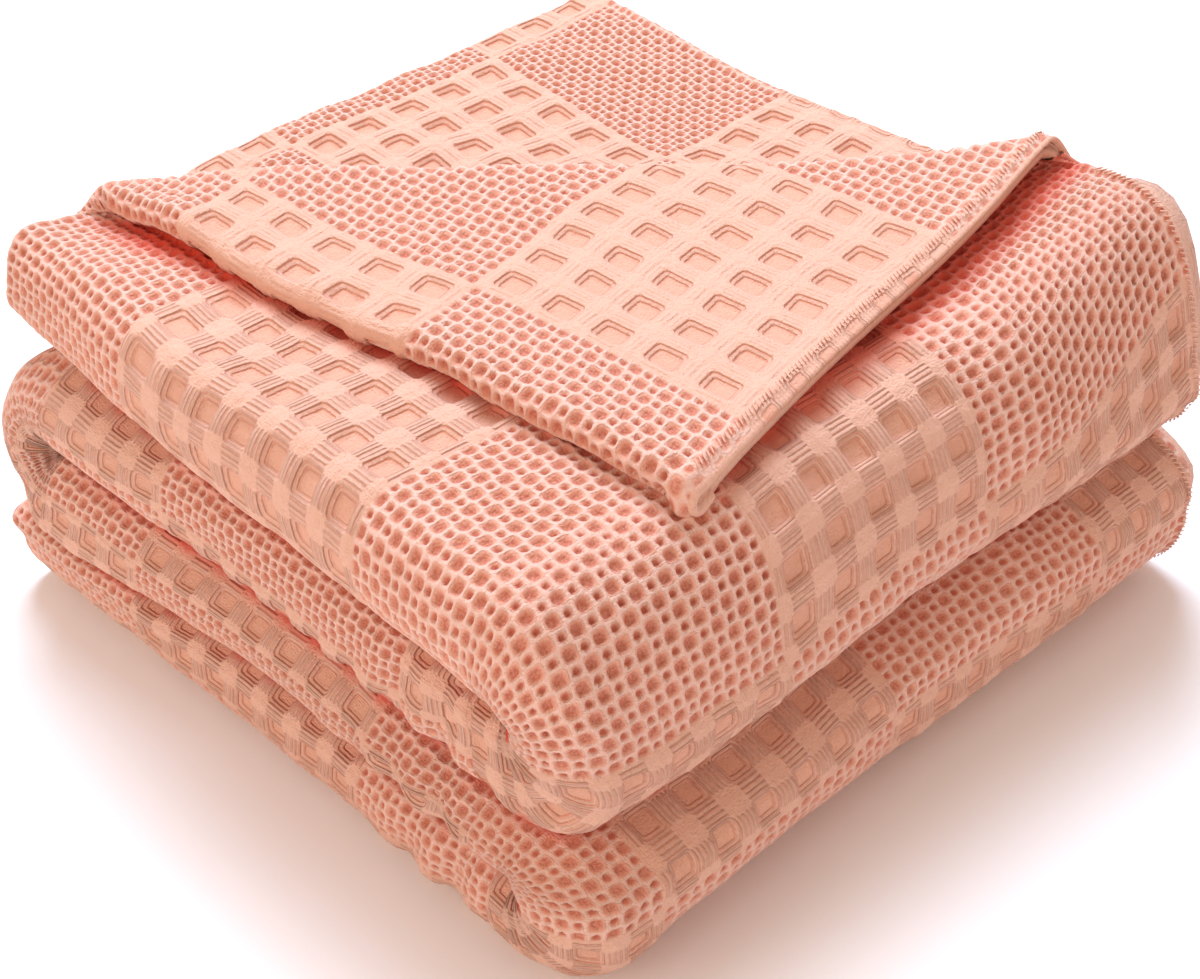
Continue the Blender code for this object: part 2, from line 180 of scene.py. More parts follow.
SQUARE_PROFILE = (
    # out from the sunk square's edge, height
    (-0.0022, -0.0020),
    (-0.0014, -0.0018),
    (-0.0006, -0.0011),
    (0.0000, -0.0006),
    (0.0010, 0.0005),
    (0.0018, 0.0005),
    (0.0028, 0.0003),
    (0.0045, 0.0008),
)
LIP = 0.0003                       # how far the cords stand out of the cloth's face
LARGE_HOLLOW = (0.09, 0.72)        # where a large hollow begins and is deepest, see mesh_field
SMALL_HOLLOW = (-0.60, -0.92)      # and a small one
CORD_MIDDLE = -0.25                # and the middle of the cords between them
HOLLOW_DEPTH = 0.0015
WRINKLE = 0.0004
WRINKLE_FROM_HEM = 0.012
HEM_BAND = (0.0045, 0.002)         # where the weave starts in from the hem
HEM_PUFF = 0.0014                  # how much thicker the hems are
HEM_PUFF_AT = (0.0028, 0.0026)     # its middle and its reach
HEM_PUFF_START = 0.001
HEM_BUNCH = 0.35                   # how uneven it is
HEM_BUNCH_WAVES = (610, 97)        # radians to a metre
HEM_ROUND = 0.0018                 # how far the cloth's edge stands out
HEM_STEPS = 7
HEM_TURN = (math.pi, 0.25)         # round the edge from the back to the face
GATHER = 0.0018                    # of the gathers on the folded side, by the front rolls
GATHER_START = 0.015
GATHER_REACH = 0.055
GATHER_PITCH = 0.023
GATHER_LEAN = 40                   # radians to a metre across
GATHER_SINK = 0.4                  # how far the cloth sinks there, as a share
JOINT_REACH = 0.002                # from a joint between two faces to the full relief

# ---- the fine faces and the plain cloth ------------------------------------------------------
COLUMN_LINES = (0.0, 0.13, 0.30, 0.50, 0.70, 0.87)      # a face's lines in a mesh column
ROW_LINES = tuple(place / 10 for place in range(10))    # and in a mesh row
LINE_MARGIN = 0.05                 # kept free at a face's ends, as a share of a column or row
HIDDEN_REACH = 0.014               # how far a face goes on where it no longer shows
TOP_PAST_FOLD = 0.002              # how far the faces go on round the end fold
CORNER_PAST_FOLD = 0.006
BEHIND_PAST_FOLD = 0.004
CORNER_REACH = (0.285, 0.275)      # of the two faces by the ridge, across and along
TOP_PAST_RIDGE = 0.7               # how far the top's face goes round the ridge, as a share
CORNER_FROM = 0.001                # where the corner's face starts past the ridge's line
BEHIND_UNDER = 0.012               # how far the face behind goes on under the ridge
LOW_PAST_ROLL = 0.008
SIDE_MARGIN = 0.010
BACK_SPACING = 0.0013
WALK_STEPS = (6000, 12000)         # of the walks across and along the cloth
PLAIN_FRONT = -0.0013              # the plain cloth's face where a fine one lies on it
PLAIN_SPACING = 0.012              # of the plain cloth's lines
PLAIN_TURN = 0.004                 # and round its turns
PLAIN_END_FOLD = 0.0012            # and round the end fold
PLAIN_TURN_STEPS = 6               # the fewest lines round a turn
# Where the plain cloth gets painted red shade, inside the stack.
PLAIN_DEEP = (0.140, 0.012)        # half the width of what lies deep in the stack, and its rim
PLAIN_EDGE = (0.004, 0.010)        # where that depth starts in from the cloth's edges
PLAIN_RIBS = 0.3
RIDGE_STEPS = 6
# How far the fine faces cover the plain cloth: before and past each turn, or in from it.
SIDE_COVER = (0.008, 0.006)
ROLL_COVER = 0.004
ROLL_COVER_ACROSS = 0.020
BACK_COVER = 0.002
BACK_COVER_ACROSS = (0.008, 0.004)
TOP_COVER = 0.5                    # as a share of the ridge's turn
CORNER_COVER = 0.003
BEHIND_COVER = 0.010

# ---- painted shade: the red in the clefts and under the corner -----------------------------------
CLEFT_START = 0.0008               # from the boundary between two layers
CLEFT_REACH = 0.0040
CLEFT_IN = 0.003                   # how far in it reaches from the turns
CLEFT_PAST_ROLL = 0.010
CLEFT_END = 0.020                  # over which it ends before the back roll
CORNER_SHADE = 0.014               # how far in under the corner the shade is full
HEM_SHADE = 0.80                   # of it on the hem's side
SHADE_BY_FOLD = 0.009              # how far out from the end fold the shade begins
SHADE_BY_HEM = 0.009
SHADE_FROM_RIDGE = 0.030
SHADE_FROM_HEIGHT = (0.120, 0.010)

# ---- the stitches over the hems ----------------------------------------------------------------
STITCH_SPACING = 0.0020
STITCH_LENGTH = 0.0042
STITCH_RADIUS = 0.00036
STITCH_IN = 0.0026                 # from the hem's edge to the stitches' middles
STITCH_SLANT = 0.62                # how far they lean along the hem
STITCH_SIDES = 6
STITCH_RINGS = 5
STITCH_FROM_FOLD = 0.003
STITCH_FROM_RIDGE = 0.006          # on the first ply
TURNED_FROM_RIDGE = 0.010          # and on the turned corner
HEM_SAMPLES = 200
LOW_HEM_SAMPLES = 120


def smooth(value):
    """Ease from 0 to 1 as value goes from 0 to 1."""
    value = np.clip(value, 0.0, 1.0)
    return value * value * (3 - 2 * value)


def ramp(value, start, reach):
    """Ease from 0 at start to 1 a reach further on."""
    return smooth((value - start) / reach)


def bell(value, middle, reach):
    """Return 1 at the middle, falling off to both sides."""
    return np.exp(-((value - middle) / reach) ** 2)


def fraction(value):
    """Return the part after the decimal point."""
    return value - np.floor(value)


def off_middle(value):
    """Return the distance from the middle of a whole step."""
    return np.abs(fraction(value) - 0.5)


# ---- the folds ---------------------------------------------------------------------------------
class Track:
    """A plane curve of straight runs joined by half turns, set out in (along, level).

    It starts at along = start and the first level, running towards -along. Each leg is
    (along where the run ends, level after the half turn there); the last has no turn.
    """

    def __init__(self, start, level, legs):
        self.runs, self.turns, self.length = [], [], 0.0
        heading = -1.0
        for stop, next_level in legs:
            run = abs(stop - start)
            self.runs.append((self.length, run, start, level, heading))
            self.length += run
            if next_level is None:
                break
            radius = abs(next_level - level) / 2
            side = math.copysign(1.0, level - next_level)
            self.turns.append((self.length, radius, stop, (level + next_level) / 2, heading, side))
            self.length += math.pi * radius
            start, level, heading = stop, next_level, -heading

    def turn(self, number):
        """Return the distances at which that half turn begins and ends."""
        begin, radius = self.turns[number][:2]
        return begin, begin + math.pi * radius

    def at(self, distance):
        """Return along, level and the normal's two components at each distance."""
        distance = np.asarray(distance, dtype=float)
        place = np.zeros((4,) + distance.shape)
        for index, (begin, run, start, level, heading) in enumerate(self.runs):
            on = distance >= begin if index else np.ones(distance.shape, bool)
            place[0][on] = start + heading * (distance[on] - begin)
            place[1][on] = level
            place[2][on] = 0.0
            place[3][on] = -heading
        for begin, radius, stop, middle, heading, side in self.turns:
            on = (distance > begin) & (distance < begin + math.pi * radius)
            angle = (distance[on] - begin) / radius
            outward = np.stack([heading * np.sin(angle), side * np.cos(angle)])
            place[0][on] = stop + radius * outward[0]
            place[1][on] = middle + radius * outward[1]
            place[2:, on] = -heading * side * outward
        return place


LAYER_MIDDLES = [(layer + 0.5) * LAYER_PITCH for layer in range(LAYERS)]
STRIP = Track(END_FOLD_Y, LAYER_MIDDLES[3], (
    (FRONT_ROLL_Y, LAYER_MIDDLES[2]),
    (BACK_ROLL_Y, LAYER_MIDDLES[1]),
    (FRONT_ROLL_Y, LAYER_MIDDLES[0]),
    (END_FOLD_Y, None)))
DOUBLED = Track(HEM_X, TOP_PAIR, (
    (SIDE_FOLD_X, -TOP_PAIR),
    (HEM_SIDE_TURN_X, -INNER_PAIR),
    (SIDE_FOLD_X, INNER_PAIR),
    (HEM_X, None)))
PAIRED = Track(STRIP.length, HALF_PLY, (
    (0.0, -HALF_PLY),
    (STRIP.length, None)))

FIRST_RUN = STRIP.runs[0][1]
TOP_RUN = DOUBLED.runs[0][1]
LAST_RUN_START = DOUBLED.runs[-1][0]
END_TURN = math.pi * HALF_PLY
SECOND_PLY = STRIP.length + END_TURN           # where the second ply starts along the cloth
CLOTH_WIDTH = DOUBLED.length


def in_strip(corner):
    """Return (x, along) of a point that is given in shares of the width."""
    return np.array([corner[0] * STACK_WIDTH, END_FOLD_Y - corner[1] * STACK_WIDTH])


RIDGE_START = in_strip(RIDGE_LEFT)
RIDGE_END = in_strip(RIDGE_RIGHT)
RIDGE_LENGTH = float(np.linalg.norm(RIDGE_END - RIDGE_START))
RIDGE_WAY = (RIDGE_END - RIDGE_START) / RIDGE_LENGTH
RIDGE_SIDE = np.array([RIDGE_WAY[1], -RIDGE_WAY[0]])
TURN_LENGTH = math.pi * RIDGE_RADIUS
CORNER_FROM_RIDGE = np.array([HEM_X, 0.0]) - RIDGE_START
TIP_FROM_RIDGE = in_strip(CORNER_TIP) - RIDGE_START
CORNER_DEPTH = float(CORNER_FROM_RIDGE @ RIDGE_SIDE) - TURN_LENGTH
CORNER_STRETCH = -float(TIP_FROM_RIDGE @ RIDGE_SIDE) / CORNER_DEPTH
CORNER_SLANT = float((TIP_FROM_RIDGE - CORNER_FROM_RIDGE) @ RIDGE_WAY) / CORNER_DEPTH


def from_ridge(x, along):
    """Return how far points lie along the ridge and beyond it, in plan."""
    plan = np.stack([x - RIDGE_START[0], along - RIDGE_START[1]])
    return np.tensordot(RIDGE_WAY, plan, 1), np.tensordot(RIDGE_SIDE, plan, 1)


def hem_drift(x, s, along, in_top_run, in_last_run):
    """Return how far the hems stand out of line."""
    to_hem = ramp(x, HEM_X - HEM_REACH, HEM_REACH)
    second = ramp(s, STRIP.length, PLY_PITCH)
    before_ridge = smooth(-from_ridge(x, along)[1] / HEM_RETURN)
    drift = np.where(in_top_run, HEM_OVERHANG * second * before_ridge, 0.0)
    drift = np.where(in_last_run, -HEM_INSET * (1 - second / 2), drift)
    return to_hem * drift


def hem_curl(x, s, along, in_top_run):
    """Return how far the second ply's hem curls up where it stands out."""
    curl = ramp(x - HEM_X, *CURL_OUT) * in_top_run * (s > SECOND_PLY)
    before_ridge = smooth(-from_ridge(x, along)[1] / HEM_RETURN)
    return HEM_CURL * curl * before_ridge * (1 - ramp(along, FIRST_RUN, CURL_ROUND_ROLL))


def turn_corner_back(x, along, height):
    """Fold the top pair over the ridge."""
    ends = np.minimum(along, 0.0)
    way, depth = from_ridge(x, along - ends)
    angle = np.clip(depth / RIDGE_RADIUS, 0.0, math.pi)
    beyond = np.maximum(depth - TURN_LENGTH, 0.0)
    turned = (1 - np.cos(angle)) / 2
    from_fold = np.maximum(along - ends, 0.0)
    puff = 1 + FOLD_PUFF * turned * bell(from_fold, 0.0, FOLD_PUFF_REACH)
    over = (height - TOP_PAIR) * puff
    way_new = way + CORNER_SLANT * beyond
    depth_turned = (RIDGE_RADIUS - over) * np.sin(angle) - CORNER_STRETCH * beyond
    depth_new = np.where(depth <= 0.0, depth, depth_turned)
    height_new = TOP_PAIR + RIDGE_RADIUS - (RIDGE_RADIUS - over) * np.cos(angle)
    # The end fold goes round beyond the strip's end.
    ends = ends * puff
    way_new = way_new + ends * RIDGE_WAY[1]
    depth_new = depth_new + ends * RIDGE_SIDE[1] * np.cos(angle)
    height_new = height_new + ends * RIDGE_SIDE[1] * np.sin(angle)
    # The corner lies higher at the ridge's ends, and droops along its end fold.
    lift = (RIDGE_LIFT_LEFT * bell(way_new, 0.0, LIFT_REACH_LEFT)
            + RIDGE_LIFT_RIGHT * bell(way_new, RIDGE_LENGTH, LIFT_REACH_RIGHT))
    lift = lift * bell(beyond, 0.0, LIFT_REACH_ACROSS)
    droop = 1 - smooth(from_fold / FOLD_DROOP_REACH)
    droop = droop * (FOLD_DROOP + FOLD_WAVE * np.sin(way_new * 2 * math.pi / FOLD_WAVE_LENGTH))
    height_new = height_new + (lift - droop) * turned
    x_new = RIDGE_START[0] + way_new * RIDGE_WAY[0] + depth_new * RIDGE_SIDE[0]
    along_new = RIDGE_START[1] + way_new * RIDGE_WAY[1] + depth_new * RIDGE_SIDE[1]
    # Past the run it follows the front roll, and is longer there the higher it lies.
    past = np.maximum(along_new - FIRST_RUN, 0.0)
    along_new = along_new - past + past * ROLL / (ROLL + height_new)
    return x_new, along_new, height_new


def hats(value, middles):
    """Return smooth weights that add up to 1, each 1 at its own middle."""
    spacing = middles[1] - middles[0]
    value = np.clip(value, middles[0], middles[-1])
    return [0.5 + 0.5 * np.cos(math.pi * np.clip((value - middle) / spacing, -1, 1))
            for middle in middles]


def bulge(table, level, place):
    """Return how far a side stands out at that level, place going from 0 to 1 along it."""
    out = 0.0
    parts = hats(place, BULGE_PLACES)
    for weight, row in zip(hats(level, [row[0] for row in table]), table):
        out = out + weight * sum(part * amount for part, amount in zip(parts, row[1:]))
    return out


def settle(x, y, z):
    """Let the neat stack sag and bulge as the real one has."""
    across = np.clip(x / STACK_WIDTH + 0.5, 0.0, 1.0)
    back = np.clip(y / STACK_DEPTH + 0.5, 0.0, 1.0)
    level = z / LAYER_PITCH
    rise = np.zeros_like(z)
    for weight, row in zip(hats(level, range(LAYERS + 1)), SETTLED_HEIGHTS):
        number, far_fold, near_fold, near_hem, far_hem = row
        height = ((1 - across) * ((1 - back) * near_fold + back * far_fold)
                  + across * ((1 - back) * near_hem + back * far_hem))
        rise = rise + weight * (height * STACK_WIDTH - number * LAYER_PITCH)
    wave = 2 * math.pi / SWAY_LENGTH
    sway = SWAY * smooth(level)
    starts = SWAY_STARTS
    z_new = z + rise + sway * np.sin(wave * x + starts[0]) * np.sin(wave * y + starts[1])
    side = ramp(-x, STACK_WIDTH / 2 - BULGE_REACH, BULGE_REACH)
    front = ramp(-y, STACK_DEPTH / 2 - BULGE_REACH, BULGE_REACH)
    x_new = x - side * bulge(SIDE_BULGE, level, 1 - back) + sway * np.sin(wave * y + starts[2])
    y_new = y - front * bulge(FRONT_BULGE, level, across) + sway * np.sin(wave * x + starts[3])
    return x_new - MIDDLE[0], y_new - MIDDLE[1], z_new


def neat(s, t, n):
    """Return where a point of the cloth lies in the neat stack."""
    along, in_pair, out_along, out_in_pair = PAIRED.at(s)
    along = along + n * out_along
    in_pair = in_pair + n * out_in_pair
    x, height, out_x, out_height = DOUBLED.at(t)
    in_top_run = t <= TOP_RUN
    x = x + in_pair * out_x
    height = height + in_pair * out_height
    x = x + hem_drift(x, s, along, in_top_run, t >= LAST_RUN_START)
    height = height + hem_curl(x, s, along, in_top_run)
    folded = in_top_run & (along <= FIRST_RUN)
    x_back, along_back, height_back = turn_corner_back(x, along, height)
    x = np.where(folded, x_back, x)
    along = np.where(folded, along_back, along)
    height = np.where(folded, height_back, height)
    y, z, out_y, out_z = STRIP.at(along)
    return x, y + height * out_y, z + height * out_z


def ease_top(x, y, z):
    """Let the top sink at the ridge's left end, and rise at the back and at the right hem."""
    left = bell(x, LEFT_DIP_AT[0], LEFT_DIP_REACH) * bell(y, LEFT_DIP_AT[1], LEFT_DIP_REACH)
    hem = bell(x, HEM_RISE_AT[0], HEM_RISE_REACH[0]) * bell(y, HEM_RISE_AT[1], HEM_RISE_REACH[1])
    rise = BACK_RISE * ramp(y, *BACK_RISEN) * (1 - left) - LEFT_DIP * left
    rise = rise + HEM_RISE * hem + HEM_SIDE_RISE * ramp(x, *HEM_SIDE_RISEN)
    low = (1 - smooth(z / LOW_FRONT_HEIGHT)) * bell(x, *LOW_FRONT_X) * ramp(-y, *LOW_FRONT_Y)
    return x, y + LOW_FRONT_IN * low, z + ramp(z, *TOP_EASED) * rise


def cloth_point(s, t, n):
    """Return points of the settled cloth, one row each, flat where they meet the ground."""
    x, y, z = neat(s, t, n)
    x, y, z = ease_top(*settle(x, y, z + GROUND_LIFT))
    return np.stack([x, y, np.maximum(z, 0.0)], axis=-1)


# ---- the weave's relief ----------------------------------------------------------------------
def waffle_relief(across, along):
    """Return the height of the waffle weave's face; across and along count its squares."""
    sides = off_middle(across) ** SQUARENESS + off_middle(along) ** SQUARENESS
    from_edge = (sides ** (1 / SQUARENESS) - PIT_SHARE / 2) * SQUARE_PITCH
    return np.interp(from_edge, *zip(*SQUARE_PROFILE))


def mesh_field(column, row):
    """Return 1 in the middle of a large hollow and -1 in that of a small one. They take
    turns both ways, like the fields of a chequerboard."""
    return np.sin(math.pi * column) * np.sin(2 * math.pi * row)


def mesh_relief(column, row):
    """Return the height of the mesh's face; column and row count its hollows."""
    field = mesh_field(column, row)
    large, small = (smooth((field - begin) / (deepest - begin))
                    for begin, deepest in (LARGE_HOLLOW, SMALL_HOLLOW))
    return LIP - HOLLOW_DEPTH * (large + small)


def wrinkles(u, v):
    """Return the slight waves of washed cloth, in radians to a metre, with no even repeat."""
    return (np.sin(v * 131 + 2.2 * np.sin(u * 40)) * np.sin(u * 158 + 1.7 * np.sin(v * 33) + 0.7)
            + 0.6 * np.sin(v * 71 + u * 49 + 1.1) * np.sin(u * 87 - v * 24))


def wander(u, v):
    """Move the blocks a little, as woven cloth does once it is washed."""
    u = u + 0.0008 * np.sin(v * 41 + 1.0) + 0.0005 * np.sin(v * 97 + u * 23)
    v = v + 0.0009 * np.sin(u * 37 + 2.0) + 0.0005 * np.sin(u * 89 + v * 31 + 1.0)
    return u, v


def block_counts(across, along, waffle_first):
    """Return counts of blocks whose whole parts add up to an even number in the waffle."""
    return across + EVEN_START, along + EVEN_START + (0 if waffle_first else 1)


def weave(name, u, v):
    """Return the relief at (u, v), the counts of blocks, squares and mesh hollows there,
    and the distance to the block's edge."""
    across, along, waffle_first = PATTERN[name]
    u, v = wander(u, v)
    if name == "top":
        # By the hem the rows are drawn in before the front roll.
        v = v + DRAWN_IN * (1 - smooth(u / DRAWN_IN_ACROSS)) * ramp(v, *DRAWN_IN_ALONG)
    block_across = (u - across.first) / across.block
    block_along = (v - along.first) / along.block
    # Before the first boundary no other lies by the hem, nor past the last block.
    last = LAST_BLOCK.get(name, math.inf)
    blocks = block_counts(np.clip(block_across, -WHOLE_BLOCK, last + WHOLE_BLOCK), block_along,
                          waffle_first)
    is_waffle = (np.floor(blocks[0]) + np.floor(blocks[1])) % 2 == 0
    squares = (block_across * across.squares, block_along * along.squares)
    hollows = (block_across * across.hollows, block_along * along.hollows)
    relief = np.where(is_waffle, waffle_relief(*squares), mesh_relief(*hollows))
    edge_across = np.where(block_across < 0, -block_across, 0.5 - off_middle(block_across))
    edge_across = np.where(block_across > last + 0.5, block_across - last, edge_across)
    edge_along = 0.5 - off_middle(block_along)
    to_edge = np.minimum(edge_across * across.block, edge_along * along.block)
    relief = relief * ramp(to_edge, *BLOCK_EDGE)
    return relief, {"blocks": blocks, "squares": squares, "hollows": hollows}, to_edge


def hem_puff(u, v):
    """Return how much thicker the hem is, bunched unevenly by its stitches."""
    bunch = np.sin(v * HEM_BUNCH_WAVES[0]) * np.sin(v * HEM_BUNCH_WAVES[1])
    puff = bell(u, *HEM_PUFF_AT) * smooth(u / HEM_PUFF_START)
    return HEM_PUFF * puff * (1 + HEM_BUNCH * bunch)


def gathers(from_roll, u, u_lines):
    """Return the folds that fan out over the folded side from a front roll."""
    fading = smooth(from_roll / GATHER_START) * bell(from_roll, 0.0, GATHER_REACH)
    folds = np.sin(from_roll * 2 * math.pi / GATHER_PITCH + GATHER_LEAN * u)
    across = np.sin(math.pi * (u - u_lines[0]) / np.ptp(u_lines))
    return GATHER * fading * (folds * across - GATHER_SINK)


# ---- the red of the clefts --------------------------------------------------------------------
def painted_cleft_shade(s, t, n):
    """Return the painted shade: 1 in the clefts between two layers of the stack, at its folded side or its
    rolls.
    """
    x, y, z = neat(s, t, n)
    z = z + GROUND_LIFT
    painted_shade = np.zeros_like(z)
    at_side = (x < SIDE_FOLD_X + CLEFT_IN) & (y > FRONT_ROLL_Y - CLEFT_PAST_ROLL)
    at_front = y < FRONT_ROLL_Y + CLEFT_IN
    before_back = smooth((BACK_ROLL_Y - y) / CLEFT_END)
    for number in range(1, LAYERS):
        near = 1 - ramp(np.abs(z - number * LAYER_PITCH), CLEFT_START, CLEFT_REACH)
        # The two front rolls meet at the middle boundary only.
        shown = at_side | (at_front & (number == LAYERS // 2))
        painted_shade = np.where(shown, np.maximum(painted_shade, near * before_back), painted_shade)
    return painted_shade


def corner_cover(points):
    """Return how far points lie in from the turned corner's ridge, hem and end fold, in plan."""
    corners = np.array([RIDGE_LEFT, RIDGE_RIGHT, CORNER_TIP]) * STACK_WIDTH - np.array(MIDDLE)
    found = []
    for first, second, third in (corners, np.roll(corners, -1, 0), np.roll(corners, -2, 0)):
        way = (second - first) / np.linalg.norm(second - first)
        across = np.array([-way[1], way[0]])
        sign = math.copysign(1.0, float((third - first) @ across))
        found.append((points[:, :2] - first) @ across * sign)
    return found


def painted_corner_shade(points):
    """Return the painted shade, from 0 to 1, of points in under the turned corner and just outside its end
    fold and hem.
    """
    from_ridge_line, from_hem, from_fold = corner_cover(points)
    outside = SHADE_BY_FOLD * smooth(from_ridge_line / SHADE_FROM_RIDGE)
    shade = smooth((from_fold + outside) / CORNER_SHADE)
    shade = shade * smooth((from_hem + SHADE_BY_HEM) / CORNER_SHADE)
    shade = shade * smooth((from_ridge_line + SHADE_BY_HEM) / CORNER_SHADE)
    inward = ramp(from_hem, SHADE_FROM_RIDGE / 2, SHADE_FROM_RIDGE)
    return shade * (HEM_SHADE + (1 - HEM_SHADE) * inward) * ramp(points[:, 2], *SHADE_FROM_HEIGHT)


# ---- the material -----------------------------------------------------------------------------
GROUND_COLOUR = (0.785, 0.465, 0.342, 1.0)
# A little darker than the ground: painted shade on the sunk squares' floor.
FLOOR_COLOUR = (0.77, 0.42, 0.295, 1.0)        # of the sunk squares
STRAND_COLOUR = (0.83, 0.535, 0.43, 1.0)       # of the mesh's cords
# The cords' sides, darker than their middles: painted shade.
STRAND_SIDE = (0.81, 0.42, 0.30, 1.0)
# The hollows, darker and redder than the cords: painted shade. Their flecks differ at random.
HOLLOW_COLOUR = (0.70, 0.31, 0.215, 1.0)
HOLLOW_FLECK = (0.60, 0.20, 0.13, 1.0)
# The small hollows, darker still: painted shade.
SMALL_COLOUR = (0.62, 0.20, 0.13, 1.0)         # of the small hollows
# Painted shade in crevices: round the sunk squares, in the gaps between ribs and between threads.
PAINTED_CREVICE_SHADE = (0.72, 0.20, 0.11, 1.0)          # between the waffle's yarns
# The red of the painted shade in the clefts and under the corner.
PAINTED_RED_SHADE = (0.72, 0.075, 0.04, 1.0)
SHEEN_COLOUR = (1.0, 0.80, 0.70, 1.0)

MILLIMETRES = 1000                 # in a metre
# In millimetres out from a sunk square's edge: where the floor's painted shade is full and ends, and
# where a line of painted shade begins and is full, and then where it fades and ends.
PIT_FLOOR = (-1.6, -0.6)
LOW_LINE = ((-1.75, -1.2), (-1.1, -0.6))
HIGH_LINE = ((-0.35, 0.05), (0.15, 0.55))
# As shares of the squares' pitch from their middle.
RIBS_FROM = (0.285, 0.31)
RIBS_WITHIN = (0.22, 0.26)
RIBS = 10                          # to a square
RIB_SHARE = {"corner": 0.35, "behind": 0.55}   # how far they stand out there, 1 elsewhere
# Painted shade in the gaps between the ribs: where it begins and is full, and how much.
RIB_GAPS = (-0.1, -0.9)
RIB_GAP_SHADE = 0.30
RIB_HEIGHT = 0.38
# How much painted shade the lines round the sunk squares get, and how far they sink.
LINE_SHADE = 0.28
LINE_HEIGHT = -0.45
CORD_WIDTH = (0.12, 0.44)          # in the mesh's field
KNOT_WIDTH = (0.35, 0.85)
CORD_HEIGHT = 0.25
HOLLOW_HEIGHT = -0.25
BLOCK_RIM = (0.5, 1.5)             # in millimetres in from a block's edge
THREAD_FINENESS = (34.0, 9.0)      # to a square, across a thread and along it
# Painted shade where the threads lie low: where it begins and is full, and how much.
THREAD_GAPS = (1.05, 0.75)
THREAD_GAP_SHADE = 0.10
THREAD_HEIGHT = 0.45
FUZZ_SCALE = 1100.0
FUZZ_FLECKS = (0.35, 0.65)
FUZZ_HEIGHT = 0.45
BUMP_DISTANCE = 0.001
COTTON_FINISH = {
    "Roughness": 0.95,
    "Specular IOR Level": 0.10,
    "Sheen Weight": 0.14,
    "Sheen Roughness": 0.45,
    "Sheen Tint": SHEEN_COLOUR,
}


class Graph:
    """Short ways of adding nodes to a node tree."""

    def __init__(self, tree):
        self.tree = tree

    def node(self, kind, inputs=(), **settings):
        """Add a node; inputs are (socket, value or output)."""
        node = self.tree.nodes.new(kind)
        for key, value in settings.items():
            setattr(node, key, value)
        for socket, value in inputs:
            if isinstance(value, bpy.types.NodeSocket):
                self.tree.links.new(value, node.inputs[socket])
            else:
                node.inputs[socket].default_value = value
        return node

    def math(self, operation, *values):
        """Add a Math node and return its output."""
        return self.node("ShaderNodeMath", enumerate(values), operation=operation).outputs[0]

    def plus(self, first, second):
        """Add two values."""
        return self.math("ADD", first, second)

    def minus(self, first, second):
        """Take the second value from the first."""
        return self.math("SUBTRACT", first, second)

    def times(self, first, second):
        """Multiply two values."""
        return self.math("MULTIPLY", first, second)

    def ease(self, value, low, high, to_low=0.0, to_high=1.0):
        """Map value smoothly from low..high to to_low..to_high."""
        inputs = ((0, value), (1, low), (2, high), (3, to_low), (4, to_high))
        return self.node("ShaderNodeMapRange", inputs, interpolation_type="SMOOTHSTEP").outputs[0]

    def fade(self, value, low, high):
        """Fall smoothly from 1 at low to 0 at high."""
        return self.ease(value, low, high, 1.0, 0.0)

    def line(self, value, rising, falling):
        """Return 1 between the two places, where value has risen and not yet fallen."""
        return self.times(self.ease(value, *rising), self.fade(value, *falling))

    def mix(self, factor, first, second):
        """Mix two colours."""
        inputs = ((0, factor), (6, first), (7, second))
        return self.node("ShaderNodeMix", inputs, data_type="RGBA").outputs[2]

    def value(self, name):
        """Read a per-point value."""
        return self.node("ShaderNodeAttribute", attribute_name=name).outputs["Fac"]

    def counts(self, name):
        """Read a pair of counts from a UV map."""
        place = self.node("ShaderNodeUVMap", uv_map=name).outputs[0]
        parts = self.node("ShaderNodeSeparateXYZ", ((0, place),)).outputs
        return parts[0], parts[1]

    def off_middle(self, value):
        """Return the distance from the middle of a whole step."""
        return self.math("ABSOLUTE", self.minus(self.math("FRACT", value), 0.5))

    def noise(self, place, scale, detail):
        """Return noise at that place."""
        inputs = (("Vector", place), ("Scale", scale), ("Detail", detail))
        return self.node("ShaderNodeTexNoise", inputs).outputs[0]


def waffle_yarns(graph):
    """Return the waffle weave's floor and lines, which get painted shade, and its ribs."""
    across_count, along_count = graph.counts("squares")
    across, along = graph.off_middle(across_count), graph.off_middle(along_count)
    sides = graph.plus(graph.math("POWER", across, SQUARENESS), graph.math("POWER", along, SQUARENESS))
    rounded = graph.math("POWER", sides, 1 / SQUARENESS)
    from_edge = graph.times(graph.minus(rounded, PIT_SHARE / 2), SQUARE_PITCH * MILLIMETRES)
    floor = graph.fade(from_edge, *PIT_FLOOR)
    lines = graph.math("MAXIMUM", graph.line(from_edge, *LOW_LINE), graph.line(from_edge, *HIGH_LINE))
    ribs = []
    for count, out, within in ((across_count, across, along), (along_count, along, across)):
        beside = graph.times(graph.ease(out, *RIBS_FROM), graph.fade(within, *RIBS_WITHIN))
        wave = graph.math("COSINE", graph.times(count, 2 * math.pi * RIBS))
        ribs.append(graph.times(beside, wave))
    return floor, lines, graph.plus(*ribs)


def mesh_yarns(graph):
    """Return how far the mesh is sunk in its large hollows and in its small ones, which
    get painted shade, and the nearness of its cords' middles and knots."""
    column, row = graph.counts("hollows")
    across = graph.math("SINE", graph.times(column, math.pi))
    along = graph.math("SINE", graph.times(row, 2 * math.pi))
    field = graph.times(across, along)
    cord = graph.fade(graph.math("ABSOLUTE", graph.minus(field, CORD_MIDDLE)), *CORD_WIDTH)
    off_knot = graph.plus(graph.math("ABSOLUTE", across), graph.math("ABSOLUTE", along))
    cord = graph.math("MAXIMUM", cord, graph.fade(off_knot, *KNOT_WIDTH))
    return graph.ease(field, *LARGE_HOLLOW), graph.ease(field, *SMALL_HOLLOW), cord


